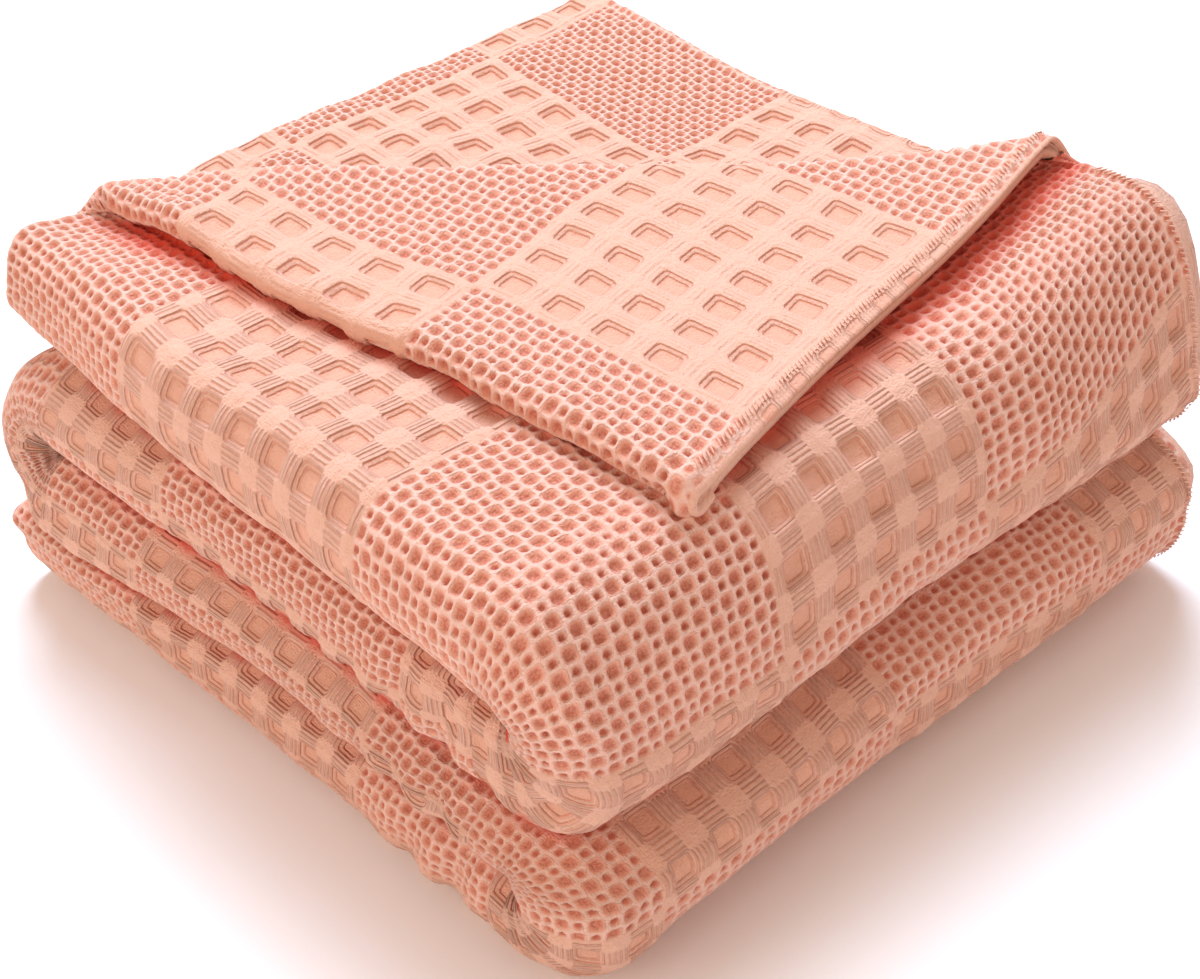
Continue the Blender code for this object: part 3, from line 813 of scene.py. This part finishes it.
def threads(graph):
    """Return noise drawn out into threads, both ways of the cloth."""
    across, along = graph.counts("squares")
    streaks = []
    for over, lengthwise in ((across, along), (along, across)):
        parts = zip((over, lengthwise), THREAD_FINENESS)
        inputs = enumerate([graph.times(part, fineness) for part, fineness in parts])
        place = graph.node("ShaderNodeCombineXYZ", inputs).outputs[0]
        streaks.append(graph.noise(place, 1.0, 2.0))
    return graph.plus(*streaks)


def cotton():
    """Return the cloth's material: peach cotton yarn."""
    material = bpy.data.materials.new("peach_cotton")
    material.use_nodes = True
    graph = Graph(material.node_tree)
    shader = material.node_tree.nodes["Principled BSDF"]
    inside = graph.ease(graph.value("edge"), *BLOCK_RIM)
    block_across, block_along = graph.counts("blocks")
    whole = graph.plus(graph.math("FLOOR", block_across), graph.math("FLOOR", block_along))
    is_waffle = graph.math("LESS_THAN", graph.math("MODULO", whole, 2.0), 0.5)
    place = graph.node("ShaderNodeTexCoord").outputs["Object"]
    fuzz = graph.noise(place, FUZZ_SCALE, 3.0)
    yarn = threads(graph)

    # The mesh: pale cords with painted shade at their sides, and hollows in painted shade with darker flecks
    # at random.
    large, small, cord = (graph.times(amount, inside) for amount in mesh_yarns(graph))
    hollow = graph.mix(graph.ease(fuzz, *FUZZ_FLECKS), HOLLOW_COLOUR, HOLLOW_FLECK)
    strand = graph.mix(graph.times(cord, inside), STRAND_SIDE, STRAND_COLOUR)
    strand = graph.mix(inside, GROUND_COLOUR, strand)
    mesh_colour = graph.mix(small, graph.mix(large, strand, hollow), SMALL_COLOUR)
    mesh_height = graph.plus(graph.times(cord, CORD_HEIGHT),
                             graph.times(graph.plus(large, small), HOLLOW_HEIGHT))

    # The waffle: sunk squares with a darker floor and lines round them in painted shade, and ribs beside them
    # with painted shade in their gaps.
    floor, lines, ribs = waffle_yarns(graph)
    rib_share = graph.value("ribs")
    gaps = graph.times(graph.ease(ribs, *RIB_GAPS), graph.times(rib_share, RIB_GAP_SHADE))
    waffle_colour = graph.mix(floor, GROUND_COLOUR, FLOOR_COLOUR)
    waffle_colour = graph.mix(gaps, waffle_colour, PAINTED_CREVICE_SHADE)
    waffle_colour = graph.mix(graph.times(lines, LINE_SHADE), waffle_colour, PAINTED_CREVICE_SHADE)
    rib_height = graph.times(ribs, graph.times(rib_share, RIB_HEIGHT))
    waffle_height = graph.plus(rib_height, graph.times(lines, LINE_HEIGHT))

    # Both together, with the yarn's threads and fuzz and painted shade between the threads, and the painted
    # red shade of the clefts and under the corner.
    colour = graph.mix(is_waffle, mesh_colour, waffle_colour)
    colour = graph.mix(graph.times(graph.ease(yarn, *THREAD_GAPS), THREAD_GAP_SHADE), colour, PAINTED_CREVICE_SHADE)
    colour = graph.mix(graph.value("painted_shade"), colour, PAINTED_RED_SHADE)
    inputs = ((0, is_waffle), (2, mesh_height), (3, waffle_height))
    height = graph.node("ShaderNodeMix", inputs).outputs[0]
    height = graph.plus(height, graph.times(fuzz, FUZZ_HEIGHT))
    height = graph.plus(height, graph.times(yarn, THREAD_HEIGHT))
    inputs = (("Height", height), ("Strength", 1.0), ("Distance", BUMP_DISTANCE))
    bump = graph.node("ShaderNodeBump", inputs).outputs[0]
    material.node_tree.links.new(colour, shader.inputs["Base Color"])
    material.node_tree.links.new(bump, shader.inputs["Normal"])
    for socket, value in COTTON_FINISH.items():
        shader.inputs[socket].default_value = value
    return material


COTTON = cotton()


def add_object(name, data):
    """Return a new object in the scene."""
    item = bpy.data.objects.new(name, data)
    bpy.context.scene.collection.objects.link(item)
    return item


def make_cloth(name, points, faces, counts, values):
    """Return a smooth piece of cloth, with its weave's counts as UV maps and with values for
    each of its points."""
    mesh = bpy.data.meshes.new(name)
    mesh.from_pydata(points.tolist(), [], faces)
    corners = np.empty(len(mesh.loops), np.int32)
    mesh.loops.foreach_get("vertex_index", corners)
    for label, pair in counts.items():
        both = np.stack(pair, axis=1)[corners].astype(np.float32)
        mesh.uv_layers.new(name=label).data.foreach_set("uv", both.ravel())
    for label, value in values.items():
        attribute = mesh.attributes.new(label, "FLOAT", "POINT")
        attribute.data.foreach_set("value", value.astype(np.float32))
    mesh.shade_smooth()
    mesh.materials.append(COTTON)
    return add_object(name, mesh)


# ---- the distances over the cloth ------------------------------------------------------------
def evenly(first, last, spacing):
    """Return evenly spaced numbers from first to last, about spacing apart."""
    return np.linspace(first, last, max(2, int(round(abs(last - first) / spacing)) + 1))


def on_face(s, t):
    """Return points of the cloth's face; s or t may be one number."""
    s, t = np.broadcast_arrays(s, t)
    return cloth_point(s, t, np.full(s.shape, HALF_CLOTH))


def walked(points):
    """Return the distance from the first point to each, over all between them."""
    steps = np.linalg.norm(np.diff(points, axis=0), axis=1)
    return np.concatenate([[0.0], np.cumsum(steps)])


# Along the first ply at half its width, across it at half the top's length, and down the
# roll at the back, where the outer pair's other run shows.
S_WALK = np.linspace(STRIP.length, 0.0, WALK_STEPS[1] + 1)
V_WALK = walked(on_face(S_WALK, HEM_X))
T_WALK = np.linspace(0.0, DOUBLED.turn(1)[1], WALK_STEPS[0] + 1)
U_WALK = walked(on_face(STRIP.length - HEM_X, T_WALK))
S_BACK = np.linspace(*(STRIP.length - along for along in STRIP.turn(1)), WALK_STEPS[0] + 1)
BACK_WALK = walked(on_face(S_BACK, TOP_RUN + HEM_X))

FOLD_STRETCH = 1 + HALF_CLOTH / HALF_PLY       # of the cloth's face round the end fold
PUFFED_STRETCH = FOLD_STRETCH * (1 + FOLD_PUFF)


def v_at(along):
    """Return the distance v of a place along the strip."""
    return float(np.interp(STRIP.length - along, S_WALK[::-1], V_WALK[::-1]))


def u_at(t):
    """Return the distance u of a place across the cloth."""
    return float(np.interp(t, T_WALK, U_WALK))


def woven_lines(repeat, places, first, last):
    """Return the distances of lines that keep to the mesh's hollows, from first to last."""
    cell = repeat.block / repeat.hollows
    low = int(math.floor((first - repeat.first) / cell)) - 1
    high = int(math.ceil((last - repeat.first) / cell)) + 1
    lines = np.array([repeat.first + cell * (number + place)
                      for number in range(low, high) for place in places])
    margin = cell * LINE_MARGIN
    lines = lines[(lines > first + margin) & (lines < last - margin)]
    return np.concatenate([[first], lines, [last]])


def first_ply_along(name, first, last):
    """Return the first ply's lines along the cloth, as places s and distances v. Before the
    end fold they go round it."""
    v = woven_lines(PATTERN[name].along, ROW_LINES, first, last)
    s = np.where(v < 0, STRIP.length - v / FOLD_STRETCH, np.interp(v, V_WALK, S_WALK))
    return s, v


def second_ply_along(name, first, last, stretch):
    """Return the second ply's lines along the cloth. Before the end fold they go round it,
    with that stretch, and then on along the first ply."""
    v = woven_lines(PATTERN[name].along, ROW_LINES, first, last)
    turn = -END_TURN * stretch
    before = np.where(v > turn, v / stretch, v - turn - END_TURN)
    return SECOND_PLY + np.where(v > 0, v, before), v


def first_ply_across(name, first, last):
    """Return the first ply's lines across the cloth, as places t and distances u."""
    u = woven_lines(PATTERN[name].across, COLUMN_LINES, first, last)
    return np.interp(u, U_WALK, T_WALK), u


# ---- the fine faces ----------------------------------------------------------------------------
def everywhere(s, t, points):
    """Keep the whole face."""
    return np.ones(s.shape, bool)


def keep_top(s, t, points):
    """Keep the top layer's first ply, short of the ridge and not deep under the corner."""
    depth = from_ridge(HEM_X - t, np.maximum(STRIP.length - s, 0.0))[1]
    short = (depth < TURN_LENGTH * TOP_PAST_RIDGE) | (t > TOP_RUN)
    return short & ((np.min(corner_cover(points), axis=0) < HIDDEN_REACH) | (t > TOP_RUN))


def keep_corner(s, t, points):
    """Keep the second ply from the ridge on."""
    depth = from_ridge(HEM_X - t, np.maximum(s - SECOND_PLY, 0.0))[1]
    return (depth > CORNER_FROM) & (t < TOP_RUN)


def keep_behind(s, t, points):
    """Keep the inner pair's second ply, behind the ridge."""
    depth = from_ridge(t - (CLOTH_WIDTH - HEM_X), np.maximum(s - SECOND_PLY, 0.0))[1]
    return depth > -BEHIND_UNDER


def round_hem(grids, t_lines):
    """Put lines before the grids that take the face round the cloth's edge to its back."""
    turn = np.linspace(*HEM_TURN, HEM_STEPS)
    outward = math.copysign(HEM_ROUND, t_lines[0] - t_lines[-1])
    edge = {key: np.repeat(value[:, :1], HEM_STEPS, axis=1) for key, value in grids.items()}
    edge["t"] = edge["t"] + outward * np.sin(turn)
    edge["n"] = np.zeros_like(edge["n"]) + (HALF_CLOTH - LIP) * np.cos(turn)
    edge["edge"] = np.zeros_like(edge["edge"])
    return {key: np.concatenate([edge[key], value], axis=1) for key, value in grids.items()}


def wanted_quads(wanted):
    """Return the quads of a grid whose four points are all wanted."""
    index = np.arange(wanted.size).reshape(wanted.shape)
    quads = np.stack([index[:-1, :-1], index[1:, :-1], index[1:, 1:], index[:-1, 1:]], axis=-1)
    return quads[wanted[:-1, :-1] & wanted[1:, :-1] & wanted[1:, 1:] & wanted[:-1, 1:]]


def turned_outward(quads, points, s, t, n):
    """Return the quads, turned over if they face into the cloth."""
    one = quads[len(quads) // 2]
    first = one[:1]
    outward = cloth_point(s[first], t[first], n[first] + HALF_CLOTH)[0] - points[one[0]]
    facing = np.cross(points[one[1]] - points[one[0]], points[one[2]] - points[one[0]])
    return quads[:, ::-1] if np.dot(facing, outward) < 0 else quads


def sorted_pair(first, second):
    """Return both lists in the order of the first."""
    order = np.argsort(first)
    return np.asarray(first)[order], np.asarray(second)[order]


def fine_face(name, pattern, along, across, keep=everywhere, hem=True, shaded=False,
              joints=(False, False), gathered_from=None):
    """Return a finely divided face of the cloth, its flat size and its area.

    Along and across are its lines, as places on the flat cloth and as distances over the
    face; keep says which points are wanted. Shaded faces lie in part under the turned
    corner and get its painted shade. Joints say whether the face is flat where it begins and
    ends along the cloth.
    """
    (s_lines, v_lines), (t_lines, u_lines) = along, across
    s, t = np.meshgrid(s_lines, t_lines, indexing="ij")
    v, u = np.meshgrid(v_lines, u_lines, indexing="ij")
    relief, counts, to_edge = weave(pattern, u, v)
    relief = relief * ramp(u, *HEM_BAND)
    relief = relief + WRINKLE * (1 + wrinkles(u, v)) * smooth(u / WRINKLE_FROM_HEM)
    if hem:
        relief = relief + hem_puff(u, v)
    for is_joint, from_end in zip(joints, (v - v_lines[0], v_lines[-1] - v)):
        if is_joint:
            relief = relief * smooth(from_end / JOINT_REACH)
    if gathered_from is not None:
        relief = relief + gathers(np.abs(v - gathered_from), u, u_lines)
    grids = {"s": s, "t": t, "n": HALF_CLOTH - LIP + relief, "u": u, "edge": to_edge * MILLIMETRES}
    for label, (count_across, count_along) in counts.items():
        grids[label + " across"], grids[label + " along"] = count_across, count_along
    if hem:
        grids = round_hem(grids, t_lines)
    shape = grids["s"].shape
    grids = {key: np.ascontiguousarray(value).ravel() for key, value in grids.items()}
    s, t, n = grids["s"], grids["t"], grids["n"]
    points = cloth_point(s, t, n)
    quads = wanted_quads(keep(s, t, points).reshape(shape))
    quads = turned_outward(quads, points, s, t, n)
    used, compact = np.unique(quads, return_inverse=True)
    pick = {key: value[used] for key, value in grids.items()}
    # Painted red shade in the clefts between layers, and on shaded faces under the turned corner.
    painted_shade = painted_cleft_shade(pick["s"], pick["t"], pick["n"])
    if shaded:
        painted_shade = np.maximum(painted_shade, painted_corner_shade(points[used]) * (pick["t"] < TOP_RUN))
    item = make_cloth(
        name, points[used], compact.reshape(quads.shape).tolist(),
        {label: (pick[label + " across"], pick[label + " along"]) for label in counts},
        {"edge": pick["edge"], "painted_shade": painted_shade, "ribs": np.full(len(painted_shade), RIB_SHARE.get(pattern, 1.0))})
    corners = quads[:, [0, 2]]
    v_corners = np.interp(s[corners], *sorted_pair(s_lines, v_lines))
    area = np.abs(np.diff(grids["u"][corners])) * np.abs(np.diff(v_corners))
    return item, (float(np.ptp(u_lines)), float(np.ptp(v_lines))), float(area.sum())


def top_faces():
    """Return the faces of the top layer: its first ply down to the upper roll, the corner
    that is turned back, and what shows behind the ridge."""
    roll, roll_end = (v_at(along) for along in STRIP.turn(0))
    side_end = u_at(DOUBLED.turn(0)[1])
    across = first_ply_across("top", 0.0, side_end + HIDDEN_REACH)
    top = fine_face("top_face", "top", first_ply_along("top", -END_TURN / 2 - TOP_PAST_FOLD, roll),
                    across, keep_top, shaded=True)
    upper_roll = fine_face("upper_roll_face", "top", first_ply_along("top", roll, roll_end + HIDDEN_REACH),
                           across, shaded=True, joints=(False, True))
    reach_across, reach_along = CORNER_REACH
    u = woven_lines(PATTERN["corner"].across, COLUMN_LINES, 0.0, reach_across)
    fold = END_TURN * PUFFED_STRETCH + CORNER_PAST_FOLD
    corner = fine_face("corner_face", "corner",
                       second_ply_along("corner", -fold, reach_along, PUFFED_STRETCH), (u, u), keep_corner)
    u = woven_lines(PATTERN["behind"].across, COLUMN_LINES, 0.0, reach_across)
    fold = END_TURN * FOLD_STRETCH + BEHIND_PAST_FOLD
    behind = fine_face("behind_face", "behind",
                       second_ply_along("behind", -fold, reach_along, FOLD_STRETCH),
                       (CLOTH_WIDTH - u, u), keep_behind)
    return [top, upper_roll, corner, behind]


def lower_faces():
    """Return the faces of the lower roll, of the folded side below the top layer, with its
    gathers, and of the roll at the back."""
    low, low_end = (v_at(along) for along in STRIP.turn(2))
    back, back_end = (v_at(along) for along in STRIP.turn(1))
    side, side_end = (u_at(t) for t in DOUBLED.turn(0))
    upper_end = v_at(STRIP.turn(0)[1]) + HIDDEN_REACH
    low_start, low_stop = low - HIDDEN_REACH, low_end + LOW_PAST_ROLL
    made = [fine_face("lower_roll_face", "lower", first_ply_along("lower", low_start, low_stop),
                      first_ply_across("lower", 0.0, side_end + HIDDEN_REACH), joints=(True, True))]
    across = first_ply_across("second", side - SIDE_MARGIN, side_end + SIDE_MARGIN)
    for name, first, last, gathered_from in (
            ("second_side_face", upper_end, back, upper_end),
            ("third_side_face", back_end, low_start, low_start),
            ("ground_side_face", low_stop, float(V_WALK[-1]), low_stop)):
        made.append(fine_face(name, "second", first_ply_along("second", first, last), across,
                              hem=False, joints=(True, True), gathered_from=gathered_from))
    u = evenly(side - SIDE_MARGIN, float(U_WALK[-1]), BACK_SPACING)
    v = evenly(0.0, float(BACK_WALK[-1]), BACK_SPACING)
    made.append(fine_face("back_roll_face", "second", (np.interp(v, BACK_WALK, S_BACK), v),
                          (np.interp(u, U_WALK, T_WALK), u), hem=False, joints=(True, True)))
    return made


# ---- the plain cloth under them --------------------------------------------------------------------
def covered(s, t):
    """Say where the cloth's face lies under a fine face."""
    on_first_ply = s < STRIP.length + END_TURN / 2
    along = np.where(on_first_ply, np.maximum(STRIP.length - s, 0.0), np.maximum(s - SECOND_PLY, 0.0))
    side_start, side_end = DOUBLED.turn(0)
    side = (t > side_start - SIDE_COVER[0]) & (t < side_end + SIDE_COVER[1])
    roll = np.zeros(s.shape, bool)
    for number in (0, 2):
        begin, finish = STRIP.turn(number)
        roll |= (along > begin - ROLL_COVER) & (along < finish + ROLL_COVER)
    roll &= t < TOP_RUN + ROLL_COVER_ACROSS
    begin, finish = STRIP.turn(1)
    back = (along > begin + BACK_COVER) & (along < finish - BACK_COVER)
    back &= t > TOP_RUN - BACK_COVER_ACROSS[0]
    back &= t < DOUBLED.turn(1)[1] - BACK_COVER_ACROSS[1]
    on_top = (along <= FIRST_RUN) & (t < TOP_RUN)
    depth = from_ridge(HEM_X - t, along)[1]
    top = on_top & (depth < TURN_LENGTH * TOP_COVER)
    corner = on_top & (depth > CORNER_COVER)
    inner_depth = from_ridge(t - (CLOTH_WIDTH - HEM_X), along)[1]
    behind = (along <= FIRST_RUN) & (t > LAST_RUN_START) & (inner_depth > -BEHIND_COVER)
    return np.where(on_first_ply, side | roll | back | top, corner | behind)


def plain_lines(track):
    """Return the distances of the plain cloth's lines."""
    found = []
    for index, (begin, run, _, _, _) in enumerate(track.runs):
        found += list(evenly(begin, begin + run, PLAIN_SPACING)[:-1])
        if index < len(track.turns):
            turn_begin, radius = track.turns[index][:2]
            steps = max(PLAIN_TURN_STEPS, int(round(math.pi * radius / PLAIN_TURN)))
            found += [turn_begin + math.pi * radius * step / steps for step in range(steps)]
    return np.array(found + [track.length])


def cut(grid, begin_s, end_s, point, way):
    """Divide the top pair's faces between two s lines along a straight line in (s, t)."""
    middles = [(face, face.calc_center_median()) for face in grid.faces]
    faces = [face for face, middle in middles if begin_s < middle.x < end_s and middle.y < TOP_RUN]
    edges = {edge for face in faces for edge in face.edges}
    verts = {vert for face in faces for vert in face.verts}
    bmesh.ops.bisect_plane(grid, geom=list(verts) + list(edges) + faces, dist=1e-5,
                           plane_co=(point[0], point[1], 0.0), plane_no=(way[1], -way[0], 0.0))


def plain_grid():
    """Return the flat cloth as a grid in (s, t), cut along the lines where the ridge turns."""
    strip = plain_lines(STRIP)
    end_fold = evenly(STRIP.length, SECOND_PLY, PLAIN_END_FOLD)
    s_lines = np.concatenate([STRIP.length - strip[::-1], end_fold[1:-1], SECOND_PLY + strip])
    t_lines = plain_lines(DOUBLED)
    grid = bmesh.new()
    rows = [[grid.verts.new((s, t, 0.0)) for t in t_lines] for s in s_lines]
    for row, next_row in zip(rows, rows[1:]):
        for place in range(len(t_lines) - 1):
            grid.faces.new((row[place], next_row[place], next_row[place + 1], row[place + 1]))
    for step in range(RIDGE_STEPS + 1):
        point = RIDGE_START + RIDGE_SIDE * TURN_LENGTH * step / RIDGE_STEPS
        crossing = point + RIDGE_WAY * (-point[1] / RIDGE_WAY[1])
        t_crossing = HEM_X - crossing[0]
        cut(grid, STRIP.length - FIRST_RUN, STRIP.length, (STRIP.length, t_crossing),
            (-RIDGE_WAY[1], -RIDGE_WAY[0]))
        cut(grid, STRIP.length, SECOND_PLY, (STRIP.length, t_crossing), (1.0, 0.0))
        cut(grid, SECOND_PLY, SECOND_PLY + FIRST_RUN, (SECOND_PLY, t_crossing),
            (RIDGE_WAY[1], -RIDGE_WAY[0]))
    grid.verts.index_update()
    return grid


def both_skins(grid):
    """Return the faces of the cloth's face and back, with the edges between them closed."""
    count = len(grid.verts)
    faces = []
    for face in grid.faces:
        corners = [vert.index for vert in face.verts]
        faces.append(corners[::-1])
        faces.append([corner + count for corner in corners])
    for edge in grid.edges:
        if edge.is_boundary:
            loop = edge.link_loops[0]
            first, second = loop.vert.index, loop.link_loop_next.vert.index
            faces.append([first, second, second + count, first + count])
    return faces


def plain_cloth():
    """Return the whole cloth, plain, thinner where a fine face lies on it."""
    grid = plain_grid()
    s, t = np.array([vert.co[:2] for vert in grid.verts]).T
    faces = both_skins(grid)
    grid.free()
    fronts = np.where(covered(s, t), PLAIN_FRONT, HALF_CLOTH)
    points = np.concatenate([cloth_point(s, t, fronts), cloth_point(s, t, np.full_like(s, -HALF_CLOTH))])
    from_end = np.maximum(np.abs(s - STRIP.length - END_TURN / 2) - END_TURN / 2, 0.0)
    from_hem = np.minimum(t, CLOTH_WIDTH - t)
    across, along, waffle_first = PATTERN["top"]
    block_across = (t - across.first) / across.block
    block_along = (from_end - along.first) / along.block
    counts = {
        "blocks": block_counts(block_across, block_along, waffle_first),
        "squares": (block_across * across.squares, block_along * along.squares),
        "hollows": (block_across * across.hollows, block_along * along.hollows),
    }
    # Painted red shade where the plain cloth lies far inside the stack, fading in from its hems and end fold.
    half_width, rim = PLAIN_DEEP
    painted_shade = np.prod(smooth((half_width - np.abs(points[:, :2])) / rim), axis=1)
    painted_shade = painted_shade * np.tile(ramp(from_hem, *PLAIN_EDGE) * ramp(from_end, *PLAIN_EDGE), 2)
    values = {
        "edge": np.tile(from_hem * MILLIMETRES / 2, 2),
        "painted_shade": painted_shade,
        "ribs": np.full(len(points), PLAIN_RIBS),
    }
    counts = {label: [np.tile(count, 2) for count in pair] for label, pair in counts.items()}
    return make_cloth("plain_cloth", points, faces, counts, values)


# ---- the stitches over the hems --------------------------------------------------------------------
def stitch_nodes():
    """Return a node group that sets a slanting stitch at even steps along its paths."""
    tree = bpy.data.node_groups.new("hem_stitching", "GeometryNodeTree")
    for name, kind in (("Paths", "Geometry"), ("Spacing", "Float"), ("Length", "Float"),
                       ("Radius", "Float"), ("Thread", "Material")):
        tree.interface.new_socket(name, in_out="INPUT", socket_type="NodeSocket" + kind)
    tree.interface.new_socket("Stitches", in_out="OUTPUT", socket_type="NodeSocketGeometry")
    graph = Graph(tree)
    given = graph.node("NodeGroupInput").outputs
    curve = graph.node("GeometryNodeMeshToCurve", (("Mesh", given["Paths"]),)).outputs["Curve"]
    inputs = (("Curve", curve), ("Length", given["Spacing"]))
    points = graph.node("GeometryNodeCurveToPoints", inputs, mode="LENGTH").outputs["Points"]
    lean = graph.node("GeometryNodeInputNamedAttribute", (("Name", "lean"),),
                      data_type="FLOAT_VECTOR").outputs[0]
    turn = graph.node("FunctionNodeAlignRotationToVector", (("Vector", lean),), axis="Z").outputs[0]
    inputs = ((0, given["Radius"]), (1, given["Radius"]), (2, given["Length"]))
    size = graph.node("ShaderNodeCombineXYZ", inputs).outputs[0]
    inputs = (("Segments", STITCH_SIDES), ("Rings", STITCH_RINGS), ("Radius", 1.0))
    bead = graph.node("GeometryNodeMeshUVSphere", inputs).outputs["Mesh"]
    inputs = (("Points", points), ("Instance", bead), ("Rotation", turn), ("Scale", size))
    beads = graph.node("GeometryNodeInstanceOnPoints", inputs).outputs[0]
    whole = graph.node("GeometryNodeRealizeInstances", (("Geometry", beads),)).outputs[0]
    rounded = graph.node("GeometryNodeSetShadeSmooth", (("Geometry", whole),)).outputs[0]
    inputs = (("Geometry", rounded), ("Material", given["Thread"]))
    dressed = graph.node("GeometryNodeSetMaterial", inputs).outputs[0]
    graph.node("NodeGroupOutput", (("Stitches", dressed),))
    return tree


def hem_paths():
    """Return the places s of the hems that show: the turned corner's, the first ply's on top
    and round the upper roll, and the lower roll's."""
    along_ridge_end = RIDGE_END[1]
    turned = np.linspace(SECOND_PLY + STITCH_FROM_FOLD,
                         SECOND_PLY + along_ridge_end - TURNED_FROM_RIDGE, HEM_SAMPLES)
    first = np.linspace(STRIP.length - STRIP.turn(0)[1],
                        STRIP.length - along_ridge_end - STITCH_FROM_RIDGE, HEM_SAMPLES)
    low_start, low_end = STRIP.turn(2)
    low = np.linspace(STRIP.length - low_end, STRIP.length - low_start, LOW_HEM_SAMPLES)
    return turned, first, low


def hem_stitches(name):
    """Return the stitches over the hems that show."""
    points, edges, leans = [], [], []
    for s in hem_paths():
        line = cloth_point(s, np.full_like(s, STITCH_IN), np.full_like(s, HALF_CLOTH + HEM_PUFF))
        across = on_face(s, 2 * STITCH_IN) - on_face(s, 0.0)
        along = np.gradient(line, axis=0)
        lean = across / np.linalg.norm(across, axis=1)[:, None]
        lean = lean + STITCH_SLANT * along / np.linalg.norm(along, axis=1)[:, None]
        first = len(points)
        points += line.tolist()
        edges += [(first + number, first + number + 1) for number in range(len(s) - 1)]
        leans += lean.tolist()
    mesh = bpy.data.meshes.new(name)
    mesh.from_pydata(points, edges, [])
    mesh.attributes.new("lean", "FLOAT_VECTOR", "POINT").data.foreach_set("vector", np.ravel(leans))
    item = add_object(name, mesh)
    modifier = item.modifiers.new("stitching", "NODES")
    modifier.node_group = stitch_nodes()
    settings = {"Spacing": STITCH_SPACING, "Length": STITCH_LENGTH / 2, "Radius": STITCH_RADIUS,
                "Thread": COTTON}
    for socket in modifier.node_group.interface.items_tree:
        if socket.in_out == "INPUT" and socket.name in settings:
            modifier[socket.identifier] = settings[socket.name]
    bpy.context.view_layer.update()
    whole = item.evaluated_get(bpy.context.evaluated_depsgraph_get())
    item.data = bpy.data.meshes.new_from_object(whole)
    item.data.name = name
    item.modifiers.clear()
    return item


# ---- the blanket put together ----------------------------------------------------------------------
FACES = top_faces() + lower_faces()
BASE = plain_cloth()
STITCHES = hem_stitches("hem_stitches")
for piece in [item for item, flat, area in FACES] + [BASE, STITCHES]:
    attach(piece, "root")
    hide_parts("blanket")

# ---- floor, lights and camera ---------------------------------------------------------------------
FLOOR_HALF = 6.0
FLOOR_LEVEL = -0.0005
PAPER_COLOUR = (0.97, 0.97, 0.97, 1.0)
PAPER_ROUGHNESS = 0.9
LIGHT_AIM = (0.0, 0.0, 0.08)
LIGHTS = (
    # name, place, size, power, colour
    ("key", (0.60, 0.78, 1.70), 1.1, 48, (0.85, 1.0, 1.22)),
    ("side_fill", (-1.4, 0.0, 0.8), 1.2, 11, (1.0, 0.80, 0.68)),
    ("front_fill", (0.3, -1.5, 0.7), 1.2, 5, (1.0, 0.64, 0.48)),
)
STUDIO_COLOUR = (1.0, 0.88, 0.81, 1.0)
STUDIO_STRENGTH = 0.47
CAMERA_PLACE = (-0.4646, -0.5098, 0.5315)
CAMERA_TURN = 42.3                 # degrees from +Y towards +X
CAMERA_PITCH = 35.35               # degrees down
CAMERA_TILT = -1.6
LENS = 68.4
SENSOR_WIDTH = 36.0


def paper():
    """Return the floor's material."""
    material = bpy.data.materials.new("white_paper")
    material.use_nodes = True
    shader = material.node_tree.nodes["Principled BSDF"]
    shader.inputs["Base Color"].default_value = PAPER_COLOUR
    shader.inputs["Roughness"].default_value = PAPER_ROUGHNESS
    return material


def make_floor():
    """Return a wide pale floor."""
    mesh = bpy.data.meshes.new("studio_floor")
    corners = [(x * FLOOR_HALF, y * FLOOR_HALF, FLOOR_LEVEL) for x, y in ((-1, -1), (1, -1), (1, 1), (-1, 1))]
    mesh.from_pydata(corners, [], [(0, 1, 2, 3)])
    mesh.materials.append(paper())
    return add_object("studio_floor", mesh)


def placed(right, up, back, place):
    """Return the matrix of a light or camera that stands there and looks away from back."""
    rows = [(right[axis], up[axis], back[axis], place[axis]) for axis in range(3)]
    return Matrix(rows + [(0, 0, 0, 1)])


def soft_light(name, place, size, power, colour):
    """Add a square area light aimed at the stack."""
    data = bpy.data.lights.new(name, "AREA")
    data.energy, data.size, data.color = power, size, colour
    back = np.array(place) - np.array(LIGHT_AIM)
    back = back / np.linalg.norm(back)
    right = np.cross((0.0, 0.0, 1.0), back)
    right = right / np.linalg.norm(right)
    add_object(name, data).matrix_world = placed(right, np.cross(back, right), back, place)


def add_camera():
    """Add the camera at the photograph's viewing angle."""
    turn, pitch, tilt = (math.radians(angle) for angle in (CAMERA_TURN, CAMERA_PITCH, CAMERA_TILT))
    ahead = np.array([math.sin(turn) * math.cos(pitch), math.cos(turn) * math.cos(pitch), -math.sin(pitch)])
    level = np.array([math.cos(turn), -math.sin(turn), 0.0])
    upward = np.cross(level, ahead)
    right = math.cos(tilt) * level + math.sin(tilt) * upward
    up = math.cos(tilt) * upward - math.sin(tilt) * level
    data = bpy.data.cameras.new("camera")
    data.sensor_width, data.lens, data.clip_start = SENSOR_WIDTH, LENS, 0.01
    camera = add_object("camera", data)
    camera.matrix_world = placed(right, up, -ahead, CAMERA_PLACE)
    bpy.context.scene.camera = camera


make_floor()
for light in LIGHTS:
    soft_light(*light)
world = bpy.data.worlds.new("studio")
world.use_nodes = True
background = world.node_tree.nodes["Background"]
background.inputs["Color"].default_value = STUDIO_COLOUR
background.inputs["Strength"].default_value = STUDIO_STRENGTH
bpy.context.scene.world = world
bpy.context.scene.view_settings.view_transform = "Standard"
add_camera()
